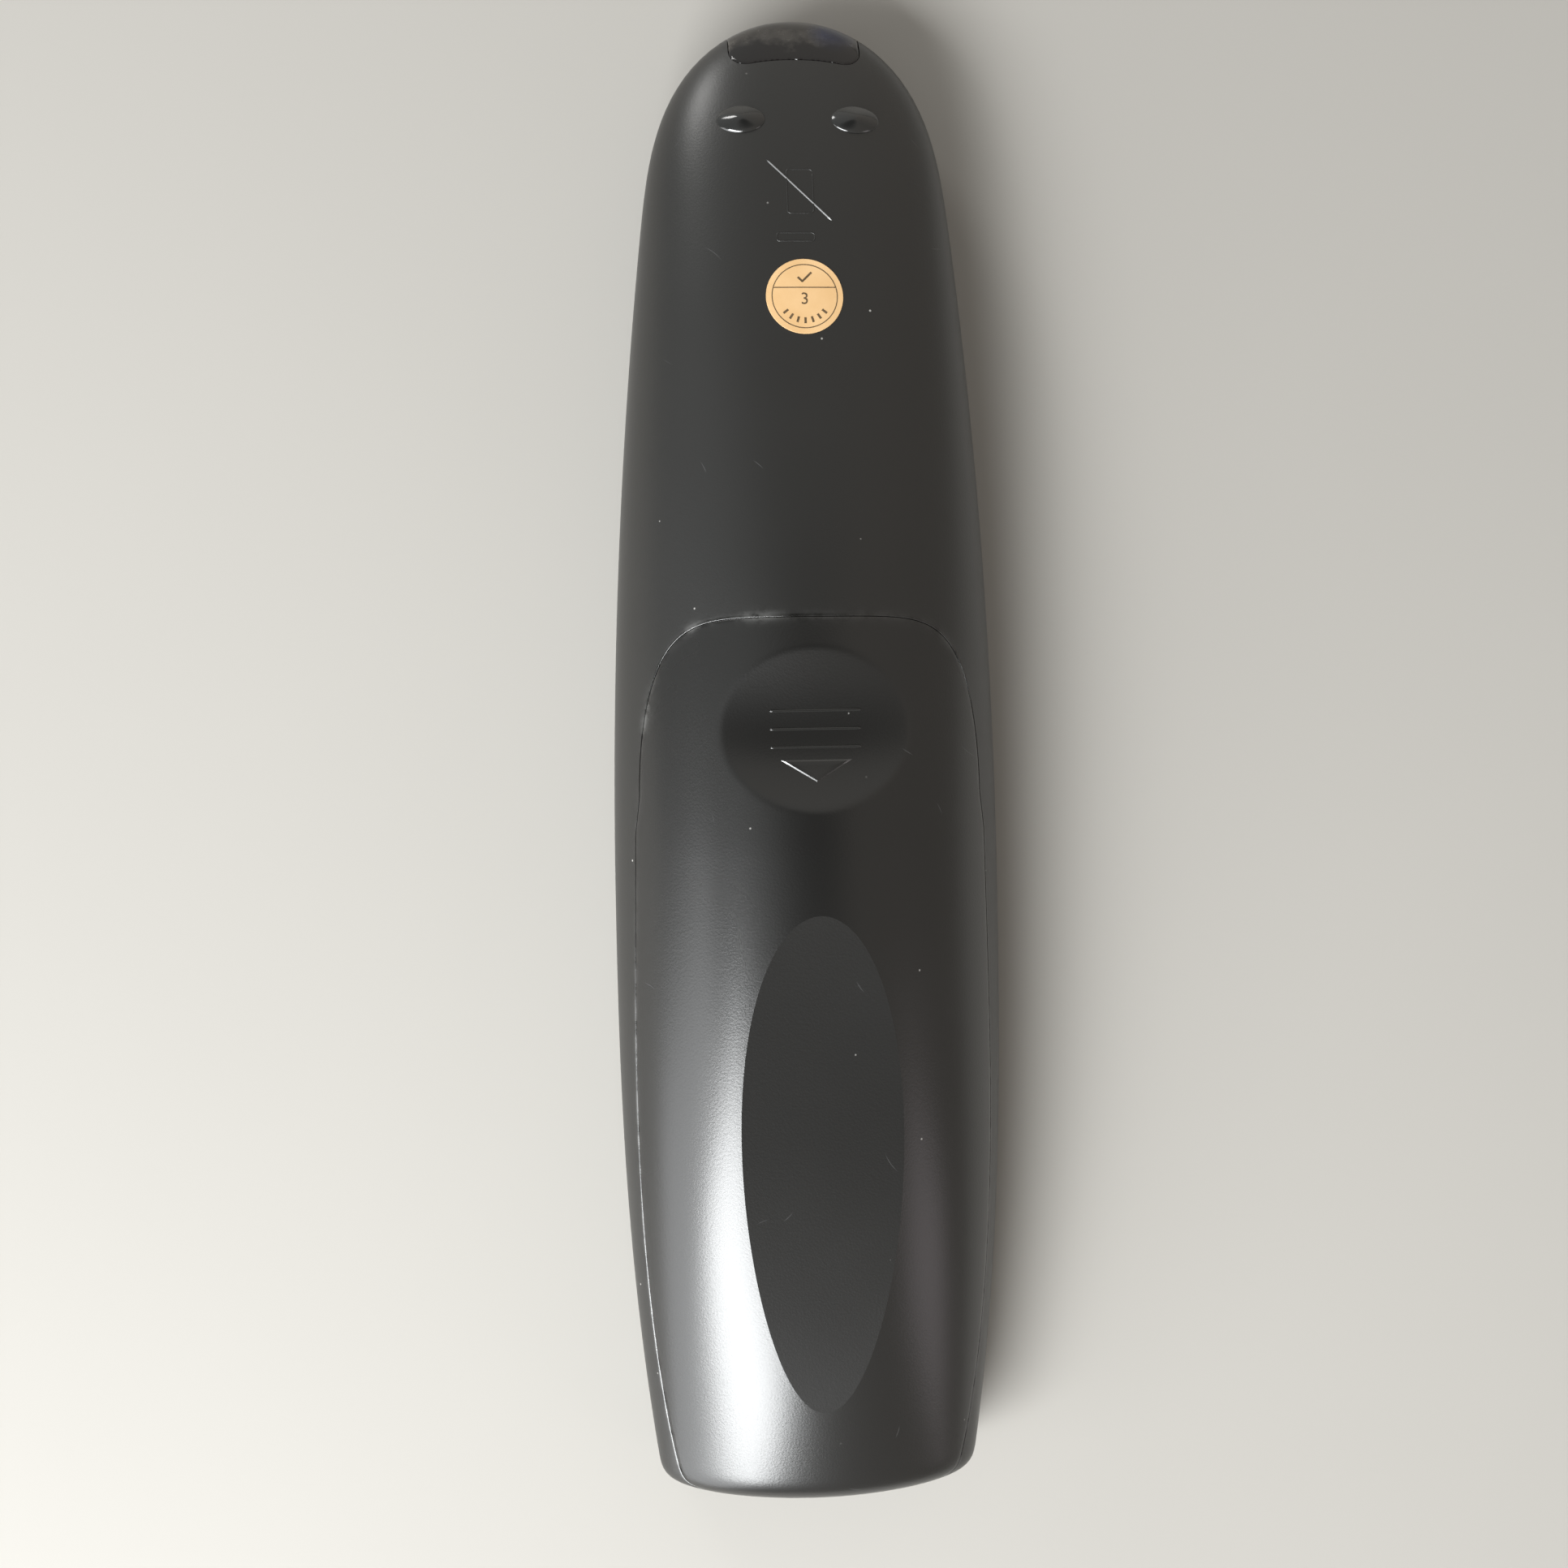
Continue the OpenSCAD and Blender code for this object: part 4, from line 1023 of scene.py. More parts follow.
def makeShell():
    xGap, yGap, parts = seamHalf(cover["gap"], 0.0, backHeight)
    xIn, yIn, _ = seamHalf(cover["gap"], body["wall"], backHeight)
    seam = wholeLoop(xGap, yGap)
    lip = np.interp(seam[1], cover["lipY"], cover["lip"][::-1])  # wider along the tail
    lip = np.where(seam[0] < 0, lip, cover["lip"][0])            # and on the left side only, the side of the painted glint line
    outer = fanRings(seam, outlineFor(0.0, yGap, parts), backHeight, shell["rings"], 0.0, lip)
    outer[-1][:, 2] += shell["groove"]
    foot = flatRing(*outlineFor(shell["groove"], yGap, parts), body["jointZ"])
    inner = fanRings(wholeLoop(xIn, yIn), outlineFor(body["wall"], yIn, parts), backHeight,
                     shell["innerRings"], body["wall"])
    points, faces = meshFromRings(outer + [foot] + inner[::-1], closed=True)
    obj = makeObject("rear_shell_skin", points, faces)
    return cutWith(obj, windowSpace("window_gap", window["gap"]))


# glossy nub with a steep side to the tail and a soft slope to the nose
nub = {"x": 6.8, "y": 74.9, "half": 2.9, "reach": (1.75, 1.8), "height": 0.95, "blunt": 0.3,
       "rim": 0.2, "sink": 0.03, "root": 0.25}


def makeNub(name, x):
    a = np.linspace(0, 2 * math.pi, 57)[:-1]
    soft = (0.5 + 0.5 * np.sin(a)) ** 2
    toTail, toNose = nub["reach"]
    reach = toTail + (toNose - toTail) * soft
    blunt, rings = nub["blunt"], []
    for s in [1.04, 1.0, 0.985, 0.96, 0.93, 0.89, 0.84, *np.linspace(0.78, 0.0, 14)]:
        slope = 1 - (math.hypot(min(s, 1.0), blunt) - blunt) / (math.hypot(1.0, blunt) - blunt)
        rim = nub["rim"] * math.sqrt(max(1 - s ** 8, 0.0)) + (1 - nub["rim"]) * slope
        height = nub["height"] * ((1 - soft) * rim + soft * slope) - nub["root" if s > 1 else "sink"]
        px, py = x + nub["half"] * s * np.cos(a), nub["y"] + reach * s * np.sin(a)
        rings.append(np.stack([px, py, backHeight(px, py) + height], axis=1))
    points, faces = meshFromRings(rings)
    faces.append(tuple(range(len(a))))
    obj = makeObject(name, points, faces)
    shadeSmooth(obj, 60)
    return paint(obj, nubBlack)


# moulded mark: a rounded frame with a bar below it and a slanted line across
mark = {"frame": (-1.65, 63.1, 1.4, 68.5), "frameCorner": 0.35, "bar": (-3.0, 59.7, 1.4, 60.7),
        "barCorner": 0.3, "slant": ((-4.0, 69.8), (3.5, 62.2)), "thin": 0.09, "thick": 0.135,
        "sink": -0.03}


def frameCorners(box, corner):
    x0, y0, x1, y1 = box
    loop = []
    for cx, cy, start in ((x1 - corner, y1 - corner, 0), (x0 + corner, y1 - corner, 90),
                          (x0 + corner, y0 + corner, 180), (x1 - corner, y0 + corner, 270)):
        loop += [(cx + corner * math.cos(math.radians(start + k * 30)),
                  cy + corner * math.sin(math.radians(start + k * 30))) for k in range(4)]
    return loop + [loop[0]]


def makeMark():
    fine = [pathOn(backHeight, frameCorners(mark[key], mark[key + "Corner"]), mark["sink"])
            for key in ("frame", "bar")]
    slant = [pathOn(backHeight, mark["slant"], 0.0)]
    return [sweepPaths("mark_frame", fine, mark["thin"], caseBlack),
            sweepPaths("mark_slant", slant, mark["thick"], ridgeBlack, 90.0, 4, 0.85)]


# battery bay, deck and rails, seen with the cover off
bay = {"topY": 6.0, "endY": -51.4, "half": 15.1, "wall": 1.0, "floor": (5.3, 6.2),
       "railZ": (15.0, 16.0), "railReach": 0.8, "railEnd": -45.4, "deck": (9.0, 10.2), "deckY": 12.0,
       "deckInset": 1.3, "slot": (3.0, 0.6), "cellX": 7.6, "holeZ": (4.0, 12.0)}
screws = {"case": ((18.25, -22.7), (-18.25, -22.7), (8.0, -82.5), (-8.0, -82.5)), "caseLength": 7.0,
          "board": ((14.406, 62.3), (-14.406, 62.3)), "boardZ": 5.0, "boardLength": 2.6,
          "headR": 1.9, "headH": 1.6, "r": 1.1, "thread": 0.2, "pitch": 0.25, "cross": (1.3, 0.3)}


def planLoop(d, nose=60, side=70, tail=24):
    bend = body["halfLength"] - body["noseReach"]
    end = body["tailReach"] - body["halfLength"]
    y = np.concatenate([noseY(d, np.linspace(0, math.pi / 2, nose)),
                        np.linspace(bend, end, side)[1:-1],
                        end - (body["tailReach"] - d) * np.sin(np.linspace(0, math.pi / 2, tail))])
    x = halfWidth(y, d)
    x[0] = x[-1] = 0.0
    return mirrored(x, y)


def circlePlan(x, y, r, count=32):
    return [(x + r * math.cos(2 * math.pi * k / count), y + r * math.sin(2 * math.pi * k / count))
            for k in range(count)]


def rectPlan(x0, y0, x1, y1):
    return [(x0, y0), (x1, y0), (x1, y1), (x0, y1)]


def makeBay():
    x, y = planLoop(bay["deckInset"])
    spots = [(a, b) for a, b in zip(x, y) if b < bay["deckY"]]
    right, left = [p for p in spots if p[0] >= 0], [p for p in spots if p[0] < 0]
    topX = float(halfWidth(np.array(bay["deckY"]), bay["deckInset"]))
    plan = [(topX, bay["deckY"]), *right, *left, (-topX, bay["deckY"])]
    deck = prism("bay_deck", plan, *bay["deck"])
    half, topY, endY = bay["half"], bay["topY"], bay["endY"]
    wide, low, high = half + bay["wall"], endY - bay["wall"], topY + bay["wall"]
    reach = wide + bay["railReach"]
    for name, plan, span, operation in (
            ("bay_box", (-wide, low, wide, high), (bay["floor"][0], bay["railZ"][1]), "UNION"),
            ("bay_rails", (-reach, bay["railEnd"], reach, topY), bay["railZ"], "UNION"),
            ("bay_room", (-half, endY, half, topY), (bay["floor"][1], farAbove), "DIFFERENCE")):
        cutWith(deck, prism(name, rectPlan(*plan), *span), operation)
    slotW, slotT = bay["slot"]
    holes = [circlePlan(*spot, screws["r"] + 0.15) for spot in screws["case"]]
    holes += [rectPlan(s * bay["cellX"] - slotW / 2, topY - slotT, s * bay["cellX"] + slotW / 2,
                       topY + 0.001) for s in (-1, 1)]
    cutWith(deck, prisms("bay_holes", holes, *bay["holeZ"]))
    shadeSmooth(deck, 30)
    return paint(deck, bayBlack)


rearShell = makeShell()
shadeSmooth(rearShell)
# the shell's seam edge gets the painted glint line as well as its worn places
markRubAndGlint(rearShell, seamPoints, shell["line"])
paint(rearShell, caseBlack)
joinInto(rearShell, [makeNub("nub_left", -nub["x"]), makeNub("nub_right", nub["x"]), *makeMark(),
                     makeBay()])
settle(rearShell, "case", "rear_shell", "case_back")
print("rear shell:", len(rearShell.data.polygons), "faces")


# what the cover carries: grip ribs, a triangle, hooks and a tongue
grip = {"count": 3, "pitch": 2.1, "length": 10.6, "radius": 0.19, "sink": 0.12, "taper": 24.0,
        "triangle": (8.2, 2.55), "triangleY": -0.85, "bevel": (0.15, 0.097), "crown": (0.04, 0.008),
        "root": (-0.05, -0.15)}
hooks = {"rootX": 17.2, "t": 0.8, "h": 1.0, "length": 6.0, "places": (-3.0, -39.4), "toeZ": 13.7,
         "reach": 0.8}
tongue = {"half": 3.0, "y": (11.7, 17.7), "t": 0.8, "below": 1.5, "root": 3.5}


def makeRibs():
    half = grip["length"] / 2
    ribs = []
    for i in range(grip["count"]):
        y = cover["dishY"] + (i - 1) * grip["pitch"]
        z = heightAt(coverHeight, 0.0, y) - grip["sink"]
        ribs.append([(x, y, z) for x in np.linspace(-half, half, 80)])
    return sweepPaths("grip_ribs", ribs, grip["radius"], nubBlack, grip["taper"])


# low raised triangle with bevelled sides, pointing to the tail
def makeTriangle():
    wide, tall = grip["triangle"]
    slanted = math.hypot(wide / 2, tall)
    inner = wide * tall / (wide + 2 * slanted)
    middle = np.array([0.0, grip["triangleY"] - inner])
    corners = np.array([(-wide / 2, 0.0), (0.0, -tall), (wide / 2, 0.0), (-wide / 2, 0.0)])
    corners += (0.0, grip["triangleY"])
    share = np.linspace(0, 1, 41)[:-1, None]
    loop = np.concatenate([a + (b - a) * share for a, b in zip(corners[:-1], corners[1:])])
    (inset, rise), (further, more) = grip["bevel"], grip["crown"]
    rings = []
    for reach, height in (grip["root"], (0.0, 0.0), (inset, rise), (inset + further, rise + more),
                          (0.6 * inner, rise + more), (0.98 * inner, rise + more)):
        x, y = (middle + (loop - middle) * (1 - reach / inner)).T
        rings.append(np.stack([x, y, coverHeight(x, y) + height], axis=1))
    points, faces = meshFromRings(rings)
    count = len(loop)
    faces += [tuple(range(count)), tuple(range(len(points) - count, len(points)))]
    obj = makeObject("grip_triangle", points, faces)
    shadeSmooth(obj, 15)
    paint(obj, ridgeBlack, coverBlack)
    for face in obj.data.polygons:  # only the bevels are polished
        face.material_index = int(face.normal.z > 0.9)
    return obj


def makeHooks():
    made = []
    x0, toeZ = hooks["rootX"], hooks["toeZ"]
    x1 = x0 + hooks["t"]
    for side in (-1, 1):
        for y in hooks["places"]:
            y0, y1 = y - hooks["length"] / 2, y + hooks["length"] / 2
            top = heightAt(backHeight, x0, y, cover["wall"]) + cover["wall"] / 3
            for start, high in ((x0, top), (x0 - hooks["reach"], toeZ + hooks["h"])):  # leg and toe
                a, b = sorted((side * start, side * x1))
                made.append(boxAt("hook", (a, y0, toeZ), (b, y1, high)))
    half, (y0, y1), t = tongue["half"], tongue["y"], tongue["t"]
    z = float(crestLine(np.array(cover["topY"]))) - body["wall"] - tongue["below"]
    made.append(boxAt("tongue", (-half, y0, z), (half, y1, z + t)))
    made.append(boxAt("tongue_root", (-half, y0, z), (half, y0 + tongue["root"], z + 3 * t)))
    return [paint(obj, coverBlack) for obj in made]


joinInto(coverSkin, [makeRibs(), makeTriangle(), *makeHooks()])
print("cover:", len(coverSkin.data.polygons), "faces")


# front shell: rim, recessed panel and a hole for each key
front = {"edge": 3.0, "rim": 4.2, "recess": 1.2, "inner": 2.4, "soft": 0.12, "softMiddle": 0.035,
         "gap": 0.3, "postR": 2.0, "postSink": 0.2, "boardPost": 4.0, "spine": (-70.0, 55.0),
         "sideZ": 6.0, "holeZ": (-1.0, 5.0)}
keyRule = {"face": 0.33, "soft": 0.45, "dip": 0.0, "dipReach": 3.2, "flange": 0.6,
           "flangeZ": (2.5, 3.1), "flangeSoft": 0.08, "inset": 0.6, "plunger": 3.5,
           "ink": (0.305, 0.36), "corner": 1.6, "endSoft": 0.1, "digit": 4.3}
rockerRule = {"face": 0.83, "soft": 0.6, "dip": 0.45, "dipReach": 3.2, "base": 3.1, "endSoft": 0.1,
              "tab": (4.9, 2.0), "tabZ": (2.55, 3.08), "pad": 7.0, "padR": 1.3, "padZ": 3.45,
              "ink": (0.805, 0.86)}
arrowRule = {"inner": 7.0, "outer": 13.5, "half": 39.0, "corner": 1.2,
             "turn": {"up_key": 90.0, "left_key": 0.0, "down_key": -90.0, "right_key": 180.0}}
keyNames = [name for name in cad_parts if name.endswith(("_key", "_rocker"))]


def boxOf(node):
    low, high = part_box(node)
    return np.array(low) / mm, np.array(high) / mm


def roundedPlan(w, h, r, steps=8):
    r = min(r, w / 2 - 0.05, h / 2 - 0.05)
    plan = []
    for q, (sx, sy) in enumerate(((1, 1), (-1, 1), (-1, -1), (1, -1))):
        for k in range(steps + 1):
            a = math.radians(90 * (q + k / steps))
            plan.append((sx * (w / 2 - r) + r * math.cos(a), sy * (h / 2 - r) + r * math.sin(a)))
    return np.array(plan)


# centre of an arrow key, and its plan bent round the ok key
def arrowPlan(node):
    low, high = boxOf("ok_key")
    middle = (arrowRule["inner"] + arrowRule["outer"]) / 2
    turn = math.radians(arrowRule["turn"][node])
    outward = middle * np.array([math.cos(turn), math.sin(turn)])
    wide = 2 * math.radians(arrowRule["half"]) * middle
    tall = arrowRule["outer"] - arrowRule["inner"]

    def plan(g):
        flat = roundedPlan(wide + 1.5 * g, tall + 2 * g, arrowRule["corner"] + g)
        dense = []
        for i, (a, b) in enumerate(zip(flat, np.roll(flat, -1, axis=0))):
            count = 1 if (i + 1) % 9 else 14 if i % 2 == 0 else 5  # long sides bend with the ring
            dense += [a + (b - a) * k / count for k in range(count)]
        dense = np.array(dense)
        angle, r = turn + dense[:, 0] / middle, middle + dense[:, 1]
        return np.stack([r * np.cos(angle), r * np.sin(angle)], axis=1) - outward
    return (low[:2] + high[:2]) / 2 + outward, plan


# centre of a key and its plan about that centre, as a rule of how much it is grown
def keyPlan(node):
    if node in arrowRule["turn"]:
        return arrowPlan(node)
    low, high = boxOf(node)
    w, h = (high - low)[:2] - 2 * keyRule["flange"]
    if node.endswith("rocker"):
        h = (high - low)[1]
    isRound = node.endswith("rocker") or abs(w - h) < 0.1
    corner = w / 2 if isRound else keyRule["corner"]
    return (low[:2] + high[:2]) / 2, lambda g: roundedPlan(w + 2 * g, h + 2 * g, corner + g)


def makePost(spot, top):
    r, bore, foot = front["postR"], screws["r"] + 0.05, front["inner"] - front["postSink"]
    rings = [np.array([(x, y, z) for x, y in circlePlan(*spot, size)])
             for size, z in ((r, foot), (r, top), (bore, top), (bore, foot))]
    return paint(makeObject("post", *meshFromRings(rings, closed=True)), frontBlack)


def makeFront():
    e, rim, soft, turn = front["edge"], front["rim"], front["soft"], front["softMiddle"]
    recess, inner, wall, joint = front["recess"], front["inner"], body["wall"], body["jointZ"]

    def shrunk(d, share, z):  # a plan loop drawn in toward the middle line
        x, y = planLoop(d)
        spine = np.clip(y, *front["spine"])
        return flatRing(x * share, spine + (y - spine) * share, z)

    rings = [shrunk(rim + soft, s, recess) for s in (0.0, 0.3, 0.6, 0.85, 1.0)]
    profile = [(rim + turn, recess - turn), (rim, recess - soft), (rim, soft), (rim - turn, turn),
               (rim - soft, 0.0)]
    profile += [(e * (1 - math.cos(t)), e * (1 - math.sin(t)))
                for t in np.linspace(math.pi / 2, 0, 10)]
    profile += [(0.0, front["sideZ"]), (0.0, joint - shell["groove"]), (shell["groove"], joint),
                (wall, joint), (wall, inner)]
    rings += [flatRing(*planLoop(d), z) for d, z in profile]
    rings += [shrunk(wall, s, inner) for s in (0.85, 0.5, 0.0)]
    obj = makeObject("front_shell_skin", *meshFromRings(rings))
    plans = [keyPlan(name) for name in keyNames]
    holes = [[tuple(p) for p in plan(front["gap"]) + centre] for centre, plan in plans]
    cutWith(obj, prisms("key_holes", holes, *front["holeZ"]))
    cutWith(obj, windowSpace("window_front", window["gap"]))
    shadeSmooth(obj, 40)
    paint(obj, frontBlack)
    posts = [makePost(spot, joint) for spot in screws["case"]]
    return joinInto(obj, posts + [makePost(spot, front["boardPost"]) for spot in screws["board"]])


frontShell = makeFront()
settle(frontShell, "case", "front_shell", "case_front")
print("front shell:", len(frontShell.data.polygons), "faces")


# signs on the keys, drawn as the thumb sees them: x to the right, y toward the nose
def thickLine(points, width=0.34):
    points = np.array(points, dtype=float)
    along = np.gradient(points, axis=0)
    along /= np.linalg.norm(along, axis=1)[:, None]
    across = np.stack([-along[:, 1], along[:, 0]], axis=1) * width / 2
    return [tuple(p) for p in np.concatenate([points + across, (points - across)[::-1]])]


def arcLine(r, start, stop, cx=0.0, cy=0.0):
    a = np.radians(np.linspace(start, stop, 30))
    return thickLine(np.stack([cx + r * np.cos(a), cy + r * np.sin(a)], axis=1))


def triangleAt(x, y, size, turn):
    a = np.radians(np.array([0, 120, 240]) + turn)
    return [(x + size * math.cos(t), y + size * math.sin(t)) for t in a]


signs = {
    "power_key": [arcLine(1.7, 125, 415), thickLine([(0, 0.5), (0, 2.2)])],
    "input_key": [rectPlan(0.6, -1.5, 1.7, -1.2), rectPlan(0.6, 1.2, 1.7, 1.5),
                  rectPlan(1.4, -1.2, 1.7, 1.2), rectPlan(-1.9, -0.15, -0.3, 0.15),
                  triangleAt(0.0, 0.0, 0.65, 0)],
    "list_key": [rectPlan(-1.0, k - 0.15, 1.8, k + 0.15) for k in (-1, 0, 1)]
                + [circlePlan(-1.7, k, 0.22, 16) for k in (-1, 0, 1)],
    "recall_key": [arcLine(1.2, 60, 330), triangleAt(0.75, 1.05, 0.65, -30)],
    "mute_key": [[(-2.0, -0.5), (-1.2, -0.5), (-0.2, -1.3), (-0.2, 1.3), (-1.2, 0.5), (-2.0, 0.5)],
                 thickLine([(0.6, -0.7), (2.0, 0.7)]), thickLine([(0.6, 0.7), (2.0, -0.7)])],
    "menu_key": [rectPlan(-1.6, k - 0.16, 1.6, k + 0.16) for k in (-0.95, 0, 0.95)],
    "ok_key": [arcLine(1.7, 0, 359), circlePlan(0, 0, 0.7)],
    "back_key": [arcLine(1.0, -90, 90, 0.6, -0.1), rectPlan(-0.9, 0.73, 0.7, 1.07),
                 triangleAt(-1.1, 0.9, 0.7, 180)],
    "home_key": [[(-1.9, 0.1), (0, 1.7), (1.9, 0.1)], rectPlan(-1.3, -1.4, -0.4, 0.0),
                 rectPlan(0.4, -1.4, 1.3, 0.0)],
    "exit_key": [thickLine([(-1.2, -1.2), (1.2, 1.2)]), thickLine([(-1.2, 1.2), (1.2, -1.2)])],
    "rewind_key": [triangleAt(-1.0, 0, 1.1, 180), triangleAt(0.75, 0, 1.1, 180)],
    "play_key": [triangleAt(-0.2, 0, 1.5, 0)],
    "forward_key": [triangleAt(-0.75, 0, 1.1, 0), triangleAt(1.0, 0, 1.1, 0)],
    "stop_key": [rectPlan(-1.1, -1.1, 1.1, 1.1)],
    "pause_key": [rectPlan(-1.1, -1.2, -0.35, 1.2), rectPlan(0.35, -1.2, 1.1, 1.2)],
    "record_key": [circlePlan(0, 0, 1.2)],
    "up_key": [triangleAt(0, 0, 1.2, 90)], "down_key": [triangleAt(0, 0, 1.2, -90)],
    "left_key": [triangleAt(0, 0, 1.2, 180)], "right_key": [triangleAt(0, 0, 1.2, 0)],
    "volume_rocker": [rectPlan(-1.5, 6.33, 1.5, 6.67), rectPlan(-0.17, 5.0, 0.17, 6.33),
                      rectPlan(-0.17, 6.67, 0.17, 8.0), rectPlan(-1.5, -6.67, 1.5, -6.33)],
    "channel_rocker": [thickLine([(-1.4, s * 6.0), (0, s * 7.2), (1.4, s * 6.0)]) for s in (1, -1)],
}


# a figure as a thin solid; place turns its flat points into millimetre points
def figure(name, text, size, place):
    data = bpy.data.curves.new(name, "FONT")
    data.body, data.size = text, size
    data.align_x, data.align_y = "CENTER", "CENTER"
    data.extrude, data.resolution_u = 0.5, 4
    source = addObject(name + "_text", data)
    mesh = fromObject(source)
    points = [place(v.co.x, v.co.y, v.co.z + 0.5) for v in mesh.vertices]
    faces = [tuple(p.vertices) for p in mesh.polygons]
    bpy.data.objects.remove(source)
    return makeObject(name, points, faces)


# what stands under a rocker: its pivot tab and two pads
def rockerFeet(x, y):
    (tx, ty), (low, high) = rockerRule["tab"], rockerRule["tabZ"]
    base = rockerRule["base"] - rockerRule["endSoft"]
    feet = [boxAt("tab", (x - tx, y - ty, low), (x + tx, y + ty, high))]
    for s in (-1, 1):
        spot = circlePlan(x, y + s * rockerRule["pad"], rockerRule["padR"], 24)
        feet.append(prism("pad", spot, base, rockerRule["padZ"]))
    return feet


def makeSign(node, centre, low, high):
    def place(x, y, t):
        return centre[0] - x, centre[1] + y, low + (high - low) * t

    if node.startswith("digit"):
        return [paint(figure("sign", node[6], keyRule["digit"], place), symbolInk)]
    outlines = [[place(x, y, 0)[:2] for x, y in shape] for shape in signs.get(node, [])]
    return [paint(prisms("sign", outlines, low, high), symbolInk)] if outlines else []


def makeKey(node, colour):
    centre, plan = keyPlan(node)
    isRocker = node.endswith("rocker")
    rule = rockerRule if isRocker else keyRule
    face, soft, end = rule["face"], rule["soft"], rule["endSoft"]

    def dipAt(p):
        return rule["dip"] * np.exp(-(p[:, 1] / rule["dipReach"]) ** 2)

    rings = []
    for s in (0.0, 0.25, 0.5, 0.75, 1.0):
        p = plan(-soft) * s
        rings.append((p, face + dipAt(p)))
    for t in np.linspace(0, math.pi / 2, 7)[1:]:
        p = plan(-soft * (1 - math.sin(t)))
        rings.append((p, face + soft * (1 - math.cos(t)) + dipAt(p) * (1 - 0.4 * math.sin(t))))
    if isRocker:
        profile = [(0.0, rule["base"] - end), (-end, rule["base"])]
    else:
        (z0, z1), edge = rule["flangeZ"], rule["flangeSoft"]
        wide, inset = rule["flange"], -rule["inset"]
        profile = [(0.0, z0), (wide - edge, z0), (wide, z0 + edge), (wide, z1 - edge),
                   (wide - edge, z1), (inset, z1), (inset, rule["plunger"] - end),
                   (inset - end, rule["plunger"])]
    rings += [(plan(g), z) for g, z in profile]
    rings.append((plan(0.0) * 0.0, profile[-1][1]))
    solid = [np.column_stack([p + centre, np.broadcast_to(z, len(p))]) for p, z in rings]
    obj = paint(makeObject(node + "_cap", *meshFromRings(solid)), colour)
    shadeSmooth(obj, 50)
    feet = [paint(foot, colour) for foot in rockerFeet(*centre)] if isRocker else []
    return joinInto(obj, feet + makeSign(node, centre, *rule["ink"]))


keyColours = {"power_key": ("key_red", keyRed), "red_key": ("key_red", keyRed),
              "green_key": ("key_green", keyGreen), "yellow_key": ("key_yellow", keyYellow),
              "blue_key": ("key_blue", keyBlue)}
for name in keyNames:
    slot, colour = keyColours.get(name, ("key_grey", keyGrey))
    settle(makeKey(name, colour), name, name, slot)
print("keys:", len(keyNames))


# inspection sticker: paper disc that lies on the back, printed with a ring, a tick and a number
sticker = {"y": 53.0, "r": 4.5, "t": 0.1, "soft": 0.03, "under": -0.05, "ring": 3.8, "chord": 1.05,
           "ink": 0.02, "inkSink": 0.005, "lineW": 0.11, "strokes": (2.55, 3.25), "strokeTurn": 17,
           "strokeW": 0.26, "tick": (((-0.75, 2.3), (-0.2, 1.75)), ((-0.27, 1.74), (0.85, 2.85))),
           "tickW": 0.24, "number": "3", "numberSize": 2.0, "numberY": -0.35, "fibres": 2400.0,
           "stains": 260.0, "paper": ((0.80, 0.53, 0.27), (0.74, 0.47, 0.22)), "rough": (0.38, 0.5)}


def onBack(x, y, lift):
    x, y = np.asarray(x, dtype=float), np.asarray(y, dtype=float)
    return np.column_stack([x, y, backHeight(x, y) + lift])


def paperGold():
    material, tree = newMaterial("paperGold")
    coords = objectCoords(tree)
    fibre = noise(tree, coords, sticker["fibres"], 4.0, 0.6)
    stain = stretch(tree, noise(tree, coords, sticker["stains"], 3.0), 0.35, 0.7)
    fillShader(tree, {"Base Color": mixColour(tree, stain, *sticker["paper"]),
                      "Roughness": roughBetween(tree, fibre, *sticker["rough"]),
                      "Normal": bumpOf(tree, fibre, 0.12, 0.00004)})
    return material


# thin printed line on the sticker, cut fine enough to follow the back
def printedLine(points, width, lift):
    x, y = np.array(thickLine(points, width)).T
    y = y + sticker["y"]
    n = len(x)
    low, high = onBack(x, y, lift), onBack(x, y, lift + sticker["ink"])
    faces = ringFaces(0, n, n)
    for i in range(n // 2 - 1):
        a, b, c, d = i, i + 1, n - 2 - i, n - 1 - i
        faces += [(a, b, c, d), (n + d, n + c, n + b, n + a)]
    return makeObject("print", np.concatenate([low, high]), faces, merge=1e-5)


